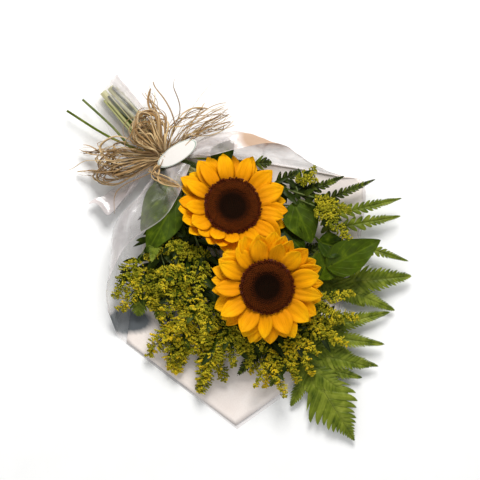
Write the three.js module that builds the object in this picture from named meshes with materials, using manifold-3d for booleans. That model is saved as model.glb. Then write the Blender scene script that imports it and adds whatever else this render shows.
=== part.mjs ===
// A florist's bunch of two sunflowers with goldenrod, leatherleaf fern and salal leaves, wrapped in
// clear film over a white paper and tied with a raffia bow. It lies on its back on a surface.
// Millimetres. +Z is up, +Y runs from the cut stems to the blooms, and z = 0 is the surface.
import * as THREE from "three";
import Module from "manifold-3d";

const wasm = await Module();
wasm.setup();
const V = (x, y, z) => new THREE.Vector3(x, y, z);

// Driving dimensions
const TIE = V(-15.5, -133, 14.9); // middle of the bundle of stems under the raffia
const FOOT = V(-24, -241, 12.8); // middle of the wrap's cut end
const CLEARANCE = 0.35; // gap between pieces that touch in the real bunch
const FILM_THICKNESS = 0.8;
const PAPER_THICKNESS = 0.8;
const SHEET_STEP = FILM_THICKNESS / 2 + PAPER_THICKNESS / 2 + CLEARANCE + 0.15; // film's middle to paper's
const FILM_AT_TIE = { a: 15.6, b: 11 }; // half axes of the gathered film
const FILM_AT_FOOT = { a: 20, b: 11.2 };
const COLLAR = 4.5; // half the length over which wrap and stems run straight under the raffia
const HEAD_STEM_RADIUS = 4.5;
const THIN_STEM_RADIUS = 1.6;
const LEAF_THICKNESS = 0.7;
const PETAL_THICKNESS = 0.8;
const MERGE_TOLERANCE = 0.02; // corners nearer than this to a flat or straight run are merged

const COLOURS = {
  petal: 0xf9a80a,
  disc: 0x3a1c0e,
  stem: 0x7f9440,
  fern: 0x66802a,
  salal: 0x3f5c14,
  goldenrod: 0xb9a11c,
  goldenrodStem: 0x5d7a2a,
  film: 0xd8d2cd,
  paper: 0xeee2d8,
  raffia: 0xb08a5a,
  label: 0xf2efe4,
};

// A repeatable number from 0 to 1 for a whole-number key
const draw = (key) => {
  const s = Math.sin(key * 12.9898 + 4.1414) * 43758.5453;
  return s - Math.floor(s);
};
const lerp = (a, b, t) => a + (b - a) * t;
const clamp01 = (t) => Math.min(1, Math.max(0, t));
const degrees = THREE.MathUtils.degToRad;

// Solids from points

function solidFrom(points, triangles) {
  const build = (tris) =>
    new wasm.Manifold(
      new wasm.Mesh({
        numProp: 3,
        vertProperties: new Float32Array(points.flatMap((p) => [p.x, p.y, p.z])),
        triVerts: new Uint32Array(tris),
      }),
    );
  const made = build(triangles);
  if (made.volume() > 0) return made;
  const turned = [];
  for (let i = 0; i < triangles.length; i += 3)
    turned.push(triangles[i], triangles[i + 2], triangles[i + 1]);
  return build(turned);
}

// A closed body through rings of equal length, with flat ends. A cell is split from its corner
// (i, k) to the opposite one where fromCorner says so, and else between the two others.
function ringSolid(rings, fromCorner = () => false) {
  const n = rings[0].length;
  const triangles = [];
  for (let i = 0; i < rings.length - 1; i++)
    for (let k = 0; k < n; k++) {
      const a = i * n + k;
      const b = i * n + ((k + 1) % n);
      if (fromCorner(i, k)) triangles.push(a, b, b + n, a, b + n, a + n);
      else triangles.push(a, b, a + n, b, b + n, a + n);
    }
  const last = (rings.length - 1) * n;
  for (let k = 1; k < n - 1; k++) {
    triangles.push(0, k + 1, k);
    triangles.push(last, last + k, last + k + 1);
  }
  return solidFrom(rings.flat(), triangles);
}

// A tube with a ring of corners at each point of a polyline. radiusAt takes a share from 0 to 1.
function tubeThrough(points, radiusAt, sides, flatness = 1) {
  const last = points.length - 1;
  const rings = [];
  let normal = null;
  points.forEach((centre, i) => {
    const tangent = points[Math.min(i + 1, last)].clone().sub(points[Math.max(i - 1, 0)]).normalize();
    if (!normal) normal = (Math.abs(tangent.z) < 0.8 ? V(0, 0, 1) : V(1, 0, 0)).cross(tangent);
    normal.addScaledVector(tangent, -normal.dot(tangent)).normalize();
    const binormal = tangent.clone().cross(normal);
    const radius = radiusAt(i / last);
    rings.push(
      Array.from({ length: sides }, (_, k) => {
        const angle = ((k + 0.5) / sides) * Math.PI * 2;
        return centre
          .clone()
          .addScaledVector(binormal, Math.cos(angle) * radius)
          .addScaledVector(normal, Math.sin(angle) * radius * flatness);
      }),
    );
  });
  return ringSolid(rings);
}

// A tube along a smooth curve through a few points
function tube(points, radius, sides, segments, flatness = 1) {
  const curve = new THREE.CatmullRomCurve3(points, false, "centripetal");
  const radiusAt = typeof radius === "number" ? () => radius : radius;
  return tubeThrough(curve.getSpacedPoints(segments), radiusAt, sides, flatness);
}

// The direction square to a grid of points at one of them
function normalOf(grid, i, j) {
  const row = grid[i];
  const last = grid.length - 1;
  const along = grid[Math.min(i + 1, last)][j].clone().sub(grid[Math.max(i - 1, 0)][j]);
  const across = row[Math.min(j + 1, row.length - 1)].clone().sub(row[Math.max(j - 1, 0)]);
  if (across.lengthSq() < 1e-9) return normalOf(grid, i - 1, j);
  return across.cross(along).normalize();
}

// A thin sheet from rows of points on its middle surface. A row of one point is a pointed tip.
// Both faces are split into the same triangles.
function blade(rows, thickness) {
  const wide = rows[0].length;
  const grid = rows.map((row) => (row.length === 1 ? Array(wide).fill(row[0]) : row));
  const points = [];
  const top = [];
  const bottom = [];
  rows.forEach((row, i) => {
    const tops = [];
    const bottoms = [];
    const columns = row.length === 1 ? [(wide - 1) / 2] : row.map((_, j) => j);
    for (const j of columns) {
      const n = normalOf(grid, i, Math.floor(j)).multiplyScalar(thickness / 2);
      tops.push(points.push(grid[i][Math.floor(j)].clone().add(n)) - 1);
      bottoms.push(points.push(grid[i][Math.floor(j)].clone().sub(n)) - 1);
    }
    top.push(row.length === 1 ? Array(wide).fill(tops[0]) : tops);
    bottom.push(row.length === 1 ? Array(wide).fill(bottoms[0]) : bottoms);
  });
  const triangles = [];
  const face = (a, b, c) => {
    if (a !== b && b !== c && a !== c) triangles.push(a, b, c);
  };
  for (let i = 0; i < rows.length - 1; i++)
    for (let j = 0; j < wide - 1; j++) {
      const leftHalf = j < (wide - 1) / 2;
      for (const [g, flip] of [[top, false], [bottom, true]]) {
        const corners = [g[i][j], g[i][j + 1], g[i + 1][j + 1], g[i + 1][j]];
        const halves = leftHalf
          ? [[0, 1, 2], [0, 2, 3]]
          : [[0, 1, 3], [1, 2, 3]];
        for (const [p, q, r] of halves) {
          if (flip) face(corners[p], corners[r], corners[q]);
          else face(corners[p], corners[q], corners[r]);
        }
      }
    }
  const rim = (a, b) => {
    // a and b are [row, column] pairs next to each other on the outline
    const [ta, tb] = [top[a[0]][a[1]], top[b[0]][b[1]]];
    const [ba, bb] = [bottom[a[0]][a[1]], bottom[b[0]][b[1]]];
    if (ta === tb) return;
    face(ta, ba, tb);
    face(tb, ba, bb);
  };
  for (let j = 0; j < wide - 1; j++) rim([0, j], [0, j + 1]);
  for (let i = 0; i < rows.length - 1; i++) rim([i, wide - 1], [i + 1, wide - 1]);
  for (let j = wide - 1; j > 0; j--) rim([rows.length - 1, j], [rows.length - 1, j - 1]);
  for (let i = rows.length - 1; i > 0; i--) rim([i, 0], [i - 1, 0]);
  return solidFrom(points, triangles);
}

// Pieces already in place, which later pieces keep clear of

const bunch = new THREE.Group();
const placed = [];

function nearBox(a, b, gap) {
  return [0, 1, 2].every((k) => a.min[k] - gap < b.max[k] && b.min[k] - gap < a.max[k]);
}

function isClear(solid, except = []) {
  const box = solid.boundingBox();
  return placed.every(
    (other) =>
      except.includes(other.name) ||
      !nearBox(box, other.box, CLEARANCE) ||
      solid.minGap(other.solid, CLEARANCE) >= CLEARANCE * 0.9,
  );
}

// The first of several bends that keeps a piece clear of its neighbours, or nothing
function firstClear(bends, make, except = []) {
  for (const bend of bends) {
    const solid = make(bend);
    if (isClear(solid, except)) return solid;
  }
  return null;
}

// Keeps a place for a piece that is finished later
function reserve(name, solid) {
  placed.push({ name, solid, box: solid.boundingBox() });
}

// One body out of pieces that overlap. Pieces that found no clear place are left out.
function join(solids) {
  const made = wasm.Manifold.union(solids.filter(Boolean));
  const bodies = made.decompose().sort((a, b) => b.volume() - a.volume());
  return bodies[0].simplify(MERGE_TOLERANCE);
}

function geometryOf(solid) {
  const mesh = solid.getMesh();
  const count = mesh.vertProperties.length / mesh.numProp;
  const positions = new Float32Array(count * 3);
  for (let i = 0; i < count; i++)
    positions.set(mesh.vertProperties.subarray(i * mesh.numProp, i * mesh.numProp + 3), i * 3);
  const geometry = new THREE.BufferGeometry();
  geometry.setAttribute("position", new THREE.BufferAttribute(positions, 3));
  geometry.setIndex(new THREE.BufferAttribute(new Uint32Array(mesh.triVerts), 1));
  geometry.computeVertexNormals();
  return geometry;
}

function add(name, solid, colour, roughness = 0.7, parent = bunch) {
  const material = new THREE.MeshStandardMaterial({ color: colour, roughness, metalness: 0 });
  const mesh = new THREE.Mesh(geometryOf(solid), material);
  mesh.name = name;
  parent.add(mesh);
  bunch.updateMatrixWorld(true);
  const before = placed.findIndex((one) => one.name === name);
  if (before >= 0) placed.splice(before, 1);
  reserve(name, solid.transform(mesh.matrixWorld.elements));
}

// The wrap: rays of the sheet that start round the tie and end on the sheet's edge.
// angle is the ray's place round the gathered bundle, 0 at +X and 90 on top. end is on the sheet's
// cut edge. bow pushes the ray's middle sideways, and hump lifts it. foot is where the same ray
// ends on the stems' side: an angle round the foot, or a point for the short flared corner.
const RAYS = [
  { angle: 100, end: V(-30, -106, 34), bow: V(0, 0, 0), hump: 2, foot: V(-12, -145, 27) },
  { angle: 84, end: V(5, -91, 44), bow: V(0, 0, 0), hump: 7, foot: V(0, -146, 28) },
  { angle: 66, end: V(31, -83, 55), bow: V(0, 0, 0), hump: 10, foot: V(16, -148, 27) },
  { angle: 48, end: V(69, -89, 56), bow: V(2, -6, 0), hump: 13, foot: V(38, -150, 24) },
  { angle: 32, end: V(98, -88, 55), bow: V(3, -10, 0), hump: 14, foot: V(82, -157, 13) },
  { angle: 17, end: V(132, -78, 44), bow: V(6, -10, 0), hump: 12, foot: V(48, -160, 9) },
  { angle: 2, end: V(149, -62, 27), bow: V(8, -8, 0), hump: 6, foot: V(22, -166, 7) },
  { angle: -16, end: V(164, -38, 10), bow: V(8, -4, 0), hump: 0, foot: -8 },
  { angle: -34, end: V(169, -13, 0.4), bow: V(6, 0, 0), floor: true, foot: -32 },
  { angle: -54, end: V(159, 67, 0.4), bow: V(0, 0, 0), floor: true, foot: -55 },
  { angle: -72, end: V(148, 148, 0.4), bow: V(0, 0, 0), floor: true, foot: -75 },
  { angle: -90, end: V(89, 158, 0.4), bow: V(0, 0, 0), floor: true, foot: -95 },
  { angle: -108, end: V(30, 167, 0.4), bow: V(0, 0, 0), floor: true, foot: -115 },
  { angle: -126, end: V(-32, 138, 0.4), bow: V(0, 0, 0), floor: true, foot: -137 },
  { angle: -143, end: V(-96, 102, 0.4), bow: V(0, 0, 0), floor: true, foot: -160 },
  { angle: -158, end: V(-156, 54, 9), bow: V(0, 0, 0), hump: -4, foot: -182 },
  { angle: -172, end: V(-147, 28, 12), bow: V(-3, 0, 0), hump: -3, foot: -204 },
  { angle: -187, end: V(-131, -6, 22), bow: V(-9, -4, 0), hump: -2, foot: -226 },
  { angle: -203, end: V(-120, -52, 38), bow: V(-16, -8, 0), hump: 0, foot: -248 },
  { angle: -219, end: V(-84, -79, 44), bow: V(-12, -6, 0), hump: 0, foot: -270 },
  { angle: -234, end: V(-58, -95, 39), bow: V(-5, -2, 0), hump: 1, foot: -288 },
  { angle: -247, end: V(-42, -105, 34), bow: V(0, 0, 0), hump: 1, foot: -304 },
];
const FLOOR_REACH = 0.24; // share of a floor ray over which the sheet comes down to the surface
const CONE_STEPS = [0, 0.12, FLOOR_REACH, 0.4, 0.68, 1];
const FOOT_STEPS = [1, 0.5, 0];
const INWARD = -1; // which way the grid's normals are taken to point into the wrap

const onEllipse = (centre, { a, b }, angle) =>
  V(
    centre.x + a * Math.cos(degrees(angle)),
    centre.y,
    centre.z + b * Math.sin(degrees(angle)),
  );

function coneRay(ray, t) {
  const start = onEllipse(TIE, FILM_AT_TIE, ray.angle).add(V(0, COLLAR, 0));
  const p = start.clone().lerp(ray.end, t);
  const middle = 4 * t * (1 - t);
  p.addScaledVector(ray.bow, middle);
  if (ray.floor) {
    const drop = Math.max(0, 1 - t / FLOOR_REACH);
    p.z = lerp(ray.end.z, start.z, drop * drop);
  } else {
    p.z = lerp(start.z, ray.end.z, Math.sin((t * Math.PI) / 2)) + ray.hump * middle;
  }
  return p;
}

function footRay(ray, t) {
  const start = onEllipse(TIE, FILM_AT_TIE, ray.angle).add(V(0, -COLLAR, 0));
  if (ray.foot.isVector3) return start.clone().lerp(ray.foot, t);
  const angle = lerp(ray.angle, ray.foot, t);
  const centre = TIE.clone().add(V(0, -COLLAR, 0)).lerp(FOOT, t);
  const around = {
    a: lerp(FILM_AT_TIE.a, FILM_AT_FOOT.a, t),
    b: lerp(FILM_AT_TIE.b, FILM_AT_FOOT.b, t),
  };
  return onEllipse(centre, around, angle);
}

// The film's middle surface from the stems' cut ends to the tie and on to its edge
const FILM_GRID = [
  ...FOOT_STEPS.map((t) => RAYS.map((ray) => footRay(ray, t))),
  ...CONE_STEPS.map((t) => RAYS.map((ray) => coneRay(ray, t))),
];

// Rows that run inside the film at a distance, over some of its rays
function insideFilm(distance, firstRay, endRay) {
  return FILM_GRID.map((row, i) =>
    row
      .map((p, j) => p.clone().addScaledVector(normalOf(FILM_GRID, i, j), INWARD * distance))
      .slice(firstRay, endRay),
  );
}

// The white paper lies on the film from the tie to the film's edge, under all that is green
const PAPER_REACH = 0.95; // share of the film's last row of cells that the paper covers
const PAPER_RAYS = [8, 17]; // the first of the film's rays that the paper follows, and the first it doesn't
const PAPER_START = 0.3; // share of the run under the raffia at which the paper begins

function paperLiner() {
  const rows = insideFilm(SHEET_STEP, ...PAPER_RAYS);
  const last = rows.length - 1;
  rows[last] = rows[last].map((p, j) => rows[last - 1][j].clone().lerp(p, PAPER_REACH));
  const cone = rows.slice(FOOT_STEPS.length);
  const foot = rows[FOOT_STEPS.length - 1];
  const inCollar = foot.map((p, j) => p.clone().lerp(cone[0][j], PAPER_START));
  return blade([inCollar, ...cone], PAPER_THICKNESS);
}

// Stems: places round the two sunflower stems in the bundle, from the side and an angle.
// side is -1 for the stem of the upper bloom and 1 for the lower one.
const PAIR_OFFSET = HEAD_STEM_RADIUS + 0.4;
const RING_OFFSET = HEAD_STEM_RADIUS + THIN_STEM_RADIUS + 0.4;
const inBundle = (side, angle) =>
  V(
    TIE.x + side * (PAIR_OFFSET + RING_OFFSET * Math.cos(degrees(angle))),
    TIE.y,
    TIE.z + RING_OFFSET * Math.sin(degrees(angle)),
  );
const SLOT_BETWEEN_BELOW = V(TIE.x, TIE.y, TIE.z - 4.3);

// The place of a stem at some distance down the foot, spread a little from the tie
function inFoot(slot, y) {
  const t = (y - TIE.y) / (FOOT.y - TIE.y);
  return V(slot.x + (FOOT.x - TIE.x) * t, y, slot.z + (FOOT.z - TIE.z) * t);
}

// A stem's middle line: its cut end, the straight run under the raffia, then a curve to its end.
// footPath is for the two stems that leave the foot.
function stemLine({ slot, cutY, footPath }, through, segments) {
  const below = slot.clone().add(V(0, -COLLAR, 0));
  const above = slot.clone().add(V(0, COLLAR, 0));
  const foot = footPath ?? [inFoot(slot, cutY), inFoot(slot, lerp(cutY, TIE.y, 0.5))];
  const curve = new THREE.CatmullRomCurve3([above, ...through], false, "centripetal");
  return [...foot, below, ...curve.getSpacedPoints(segments)];
}

// The nearest points of two segments, as shares of each
function nearestShares(a, b, c, d) {
  const [u, v, w] = [b.clone().sub(a), d.clone().sub(c), a.clone().sub(c)];
  const [uu, uv, vv, uw, vw] = [u.dot(u), u.dot(v), v.dot(v), u.dot(w), v.dot(w)];
  const span = uu * vv - uv * uv;
  let s = span > 1e-9 ? clamp01((uv * vw - vv * uw) / span) : 0.5;
  const t = clamp01((uv * s + vw) / vv);
  s = clamp01((uv * t - uw) / uu);
  return [s, t];
}

// The paper's surface, and the film's on both sides of it, under everything that is green
const LOW_ROWS = insideFilm(SHEET_STEP, 5, 18).slice(FOOT_STEPS.length);

// Height of the sheets' upper face under a point, or 0 where there is none
function sheetTop(p) {
  let top = 0;
  const inTriangle = (a, b, c) => {
    const area = (b.x - a.x) * (c.y - a.y) - (c.x - a.x) * (b.y - a.y);
    const u = ((b.x - p.x) * (c.y - p.y) - (c.x - p.x) * (b.y - p.y)) / area;
    const v = ((c.x - p.x) * (a.y - p.y) - (a.x - p.x) * (c.y - p.y)) / area;
    const w = 1 - u - v;
    if (u >= 0 && v >= 0 && w >= 0) top = Math.max(top, a.z * u + b.z * v + c.z * w);
  };
  for (let i = 0; i < LOW_ROWS.length - 1; i++)
    for (let j = 0; j < LOW_ROWS[0].length - 1; j++) {
      const [a, b] = [LOW_ROWS[i][j], LOW_ROWS[i][j + 1]];
      const [c, d] = [LOW_ROWS[i + 1][j + 1], LOW_ROWS[i + 1][j]];
      inTriangle(a, b, c);
      inTriangle(a, c, d);
    }
  return top && top + PAPER_THICKNESS / 2;
}

// Stems lie against each other: where two would cross, both give way, the thin one more.
// The cut ends, the run under the raffia and the ends that carry a head or plume keep their place.
const SETTLING_ROUNDS = 90;
const STEM_GAP = CLEARANCE + 0.35;

function settle(stems) {
  const held = (stem, i) => i <= stem.footCount + 1 || i === stem.line.length - 1;
  const push = (stem, i, by) => {
    if (!held(stem, i)) stem.line[i].add(by);
  };
  for (let round = 0; round < SETTLING_ROUNDS; round++) {
    for (let p = 0; p < stems.length; p++)
      for (let q = p + 1; q < stems.length; q++) {
        const [one, two] = [stems[p], stems[q]];
        const apart = one.radius + two.radius + STEM_GAP;
        for (let i = 0; i < one.line.length - 1; i++)
          for (let j = 0; j < two.line.length - 1; j++) {
            const [a, b] = [one.line[i], one.line[i + 1]];
            const [c, d] = [two.line[j], two.line[j + 1]];
            if (Math.min(a.y, b.y) - apart > Math.max(c.y, d.y)) continue;
            if (Math.min(c.y, d.y) - apart > Math.max(a.y, b.y)) continue;
            const [s, t] = nearestShares(a, b, c, d);
            const gap = a.clone().lerp(b, s).sub(c.clone().lerp(d, t));
            const distance = gap.length();
            if (distance >= apart) continue;
            const way = distance > 0.05 ? gap.divideScalar(distance) : V(0, 0, 1);
            const short = apart - distance;
            const share = two.radius / (one.radius + two.radius);
            push(one, i, way.clone().multiplyScalar(short * share * (1 - s)));
            push(one, i + 1, way.clone().multiplyScalar(short * share * s));
            push(two, j, way.clone().multiplyScalar(-short * (1 - share) * (1 - t)));
            push(two, j + 1, way.clone().multiplyScalar(-short * (1 - share) * t));
          }
      }
    for (const stem of stems)
      stem.line.forEach((point, i) => {
        const lowest = sheetTop(point) + stem.radius + STEM_GAP;
        if (i > stem.footCount + 1) point.z = Math.max(point.z, lowest);
      });
  }
}

// The point at a share of the way along a polyline
function pointAlong(line, share) {
  const lengths = line.slice(1).map((p, i) => p.distanceTo(line[i]));
  let left = share * lengths.reduce((sum, one) => sum + one, 0);
  for (let i = 0; i < lengths.length; i++) {
    if (left <= lengths[i]) return line[i].clone().lerp(line[i + 1], left / lengths[i]);
    left -= lengths[i];
  }
  return line.at(-1).clone();
}

// The point of a polyline that is nearest to p
function nearestOn(line, p) {
  let best = line[0];
  for (let i = 0; i < line.length - 1; i++) {
    const [s] = nearestShares(line[i], line[i + 1], p, p.clone().add(V(0, 0, 1e-3)));
    const q = line[i].clone().lerp(line[i + 1], s);
    if (q.distanceTo(p) < best.distanceTo(p)) best = q;
  }
  return best;
}

// Leaves

const WIDTHS = {
  ovate: (s) => 1.32 * Math.pow(Math.sin(Math.PI * Math.pow(s, 0.72)), 0.8) * (1 - 0.26 * s),
  pinna: (s) => Math.pow(Math.max(0, 1 - s), 0.75) * Math.min(1, 0.55 + 3 * s),
};

// One leaf as a blade. up is the side that it shows; arch bends it down past its middle;
// cup raises its edges; teeth is the number of forward teeth on each edge.
function leaf({ base, tip, halfWidth, up, arch = 0, cup = 0, teeth = 0, shape = "ovate", steps = 5 }) {
  const along = tip.clone().sub(base);
  const length = along.length();
  along.normalize();
  const side = along.clone().cross(up).normalize();
  const normal = side.clone().cross(along).normalize();
  const widthAt = WIDTHS[shape];
  const rows = [];
  const row = (s, width, forward) => {
    const middle = base.clone().addScaledVector(along, s * length);
    middle.addScaledVector(normal, arch * 4 * s * (1 - s));
    const edge = (sign) =>
      middle
        .clone()
        .addScaledVector(side, sign * width)
        .addScaledVector(along, forward)
        .addScaledVector(normal, cup * (width / halfWidth));
    rows.push(cup ? [edge(-1), middle, edge(1)] : [edge(-1), edge(1)]);
  };
  if (teeth) {
    const pitch = 1 / (teeth + 0.6);
    for (let k = 0; k < teeth; k++) {
      const s = k * pitch;
      row(s, Math.max(0.8, halfWidth * widthAt(s) * 0.55), 0);
      row(s + pitch * 0.62, Math.max(1.1, halfWidth * widthAt(s + pitch * 0.3)), pitch * length * 0.28);
    }
    row(teeth * pitch, Math.max(0.8, halfWidth * widthAt(teeth * pitch) * 0.6), 0);
  } else {
    row(0, Math.max(0.9, halfWidth * 0.2), 0);
    for (let k = 1; k < steps; k++) row(k / steps, halfWidth * widthAt(k / steps), 0);
  }
  rows.push([tip.clone()]);
  return blade(rows, LEAF_THICKNESS);
}

// A leaf held by a short stalk from a point on the stem. It is bent up or down until it is clear.
const LIFTS = [0, 4, -4, 8, -8, 13, -13, 18, 24];

function stalkedLeaf(from, spec, ownStem) {
  const bentTo = (lift) => {
    const tip = spec.tip.clone().add(V(0, 0, lift));
    const base = spec.base.clone().add(V(0, 0, lift * 0.3));
    const out = leaf({ ...spec, base, tip });
    const stalkEnd = base.clone().lerp(tip, 0.12).addScaledVector(spec.up, spec.arch * 0.42);
    const stalk = tube([from, from.clone().lerp(stalkEnd, 0.5), stalkEnd], 1, 3, 2);
    return join([out, stalk]);
  };
  return firstClear(LIFTS, bentTo, [ownStem]);
}

// Sunflower heads

const DISC_SIDES = 26;

// A turned body from [radius, height] pairs that run from the axis below to the axis above
function turned(profile, sides, relief = () => 0, fromCorner) {
  const rings = profile.map(([r, z], i) =>
    Array.from({ length: sides }, (_, k) => {
      const angle = (k / sides) * Math.PI * 2;
      return V(Math.cos(angle) * r, Math.sin(angle) * r, z + relief(i, k));
    }),
  );
  return ringSolid(rings, fromCorner);
}

// The disc: a raised ring of open florets round a sunken middle of closed buds, its surface in
// small peaks that follow the crossing rows in which the florets stand
function discSolid(radius) {
  const profile = [
    [0.3, 3.05], [0.88, 3.05], [1, 5.8], [0.93, 7.4], [0.79, 7.9], [0.63, 7.3], [0.45, 5.9],
    [0.25, 5.3], [0.04, 5.4],
  ];
  const peak = (i, k) => (i + k) % 2 === 0;
  const relief = (i, k) => (i > 2 && i < 8 ? (peak(i, k) ? 0.6 : -0.6) : 0);
  const valleys = (i, k) => !peak(i, k);
  return turned(profile.map(([s, z]) => [s * radius, z]), DISC_SIDES, relief, valleys);
}

// The green base with its neck, and a row of bracts
function receptacle(radius, neck) {
  const profile = [
    [HEAD_STEM_RADIUS, -neck], [HEAD_STEM_RADIUS * 1.2, -neck + 6],
    [radius * 0.55, -7.5], [radius * 0.86, -3.2], [radius * 0.88, -0.35],
  ];
  const parts = [turned(profile, 12)];
  const count = 8;
  for (let k = 0; k < count; k++) {
    const angle = ((k + 0.3 * draw(k + 5)) / count) * Math.PI * 2;
    const out = V(Math.cos(angle), Math.sin(angle), 0);
    const base = out.clone().multiplyScalar(radius * 0.74).setZ(-4.2);
    const tip = out.clone().multiplyScalar(radius * 1.3 + 4 * draw(k + 40)).setZ(-8 - 4 * draw(k + 60));
    parts.push(leaf({ base, tip, halfWidth: 5, up: V(0, 0, 1), arch: 1.2, cup: 1, steps: 2 }));
  }
  return join(parts);
}

// A petal in the head's own frame: it leaves the disc's rim at azimuth angle, and rises from
// startRise to endRise, in degrees above the head's plane. lean turns it about its own line.
function petal({ angle, rim, length, halfWidth, startRise, endRise, height, lean }) {
  const out = V(Math.cos(angle), Math.sin(angle), 0);
  const side = V(-Math.sin(angle), Math.cos(angle), 0);
  const shares = [0, 0.4, 0.78, 1];
  const widths = [0.5, 1, 0.82, 0];
  const rows = [];
  const at = out.clone().multiplyScalar(rim).setZ(height);
  let before = 0;
  shares.forEach((s, i) => {
    const rise = degrees(lerp(startRise, endRise, s));
    const step = (s - before) * length;
    before = s;
    at.addScaledVector(out, Math.cos(rise) * step).add(V(0, 0, Math.sin(rise) * step));
    if (widths[i] === 0) {
      rows.push([at.clone()]);
      return;
    }
    const tilt = degrees(lean * Math.min(1, 0.3 + 2 * s));
    const across = side.clone().multiplyScalar(Math.cos(tilt)).add(V(0, 0, Math.sin(tilt)));
    const edge = (sign) =>
      at
        .clone()
        .addScaledVector(across, sign * halfWidth * widths[i])
        .add(V(0, 0, 1.3 * widths[i]));
    rows.push([edge(-1), at.clone(), edge(1)]);
  });
  return blade(rows, PETAL_THICKNESS);
}

// A ring with a square section, for the root of the petals
function rootRing(inner, outer, low, high, sides) {
  const corners = [[inner, low], [outer, low], [outer, high], [inner, high]];
  const points = corners.flatMap(([r, z]) =>
    Array.from({ length: sides }, (_, k) => {
      const angle = (k / sides) * Math.PI * 2;
      return V(Math.cos(angle) * r, Math.sin(angle) * r, z);
    }),
  );
  const triangles = [];
  for (let i = 0; i < 4; i++)
    for (let k = 0; k < sides; k++) {
      const next = (k + 1) % sides;
      const [a, b] = [i * sides + k, i * sides + next];
      const [c, d] = [((i + 1) % 4) * sides + k, ((i + 1) % 4) * sides + next];
      triangles.push(a, b, c, b, d, c);
    }
  return solidFrom(points, triangles);
}

// The ray petals in an outer and an inner row. All lean the same way, so that each laps over the
// next. On the crowded side of a head they stand up and look shorter. rise is a petal's slope at
// its root and at its tip, in degrees, and reach its length as a share of the longest.
const PETAL_ROWS = [
  { count: 14, rise: [0, -2], height: 0.5, reach: 1, half: 9.6, phase: 0 },
  { count: 13, rise: [19, 8], height: 2, reach: 0.88, half: 8.8, phase: 0.5 },
];

function petalRing(head) {
  const { discRadius, petalReach, crowdedSide, crowding, seed } = head;
  const parts = [rootRing(discRadius * 0.62, discRadius * 0.94, 0, 2.7, 18)];
  const rim = discRadius * 0.92;
  PETAL_ROWS.forEach((row, layer) => {
    for (let k = 0; k < row.count; k++) {
      const key = seed + layer * 100 + k;
      const turn = (draw(key) - 0.5) * 0.3;
      const angle = ((k + row.phase + turn) / row.count) * Math.PI * 2;
      const crowded = Math.max(0, Math.cos(angle - crowdedSide)) * crowding;
      const reach = row.reach * (1 + 0.14 * (draw(key + 31) - 0.5)) * (1 - 0.12 * crowded);
      parts.push(
        petal({
          angle,
          rim,
          length: (petalReach - rim) * reach,
          halfWidth: row.half * (1 + 0.2 * (draw(key + 57) - 0.5)),
          startRise: row.rise[0] + 4 * (draw(key + 11) - 0.5) + 12 * crowded,
          endRise: row.rise[1] + 18 * (draw(key + 23) - 0.5) + 56 * crowded,
          height: row.height,
          lean: 13 + 8 * (draw(key + 77) - 0.5),
        }),
      );
    }
  });
  return join(parts);
}

const middleOf = (side) => V(TIE.x + side * PAIR_OFFSET, TIE.y, TIE.z);

const HEADS = [
  {
    name: "sunflower_1",
    centre: V(-30, -38, 45),
    lean: V(-0.27, -0.08, 0.96),
    neck: 13,
    discRadius: 32,
    petalReach: 67,
    crowdedSide: degrees(20),
    crowding: 0.9,
    seed: 1000,
    slot: middleOf(-1),
    cutY: -236,
    through: [V(-27, -100, 16), V(-31, -66, 20)],
  },
  {
    name: "sunflower_2",
    centre: V(6, 54, 68),
    lean: V(0.03, 0.1, 0.99),
    neck: 15,
    discRadius: 30,
    petalReach: 66,
    crowdedSide: degrees(215),
    crowding: 0.45,
    seed: 2000,
    slot: middleOf(1),
    cutY: -238,
    through: [V(-6, -92, 17), V(0, -30, 19), V(5, 18, 27)],
  },
];

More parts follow.
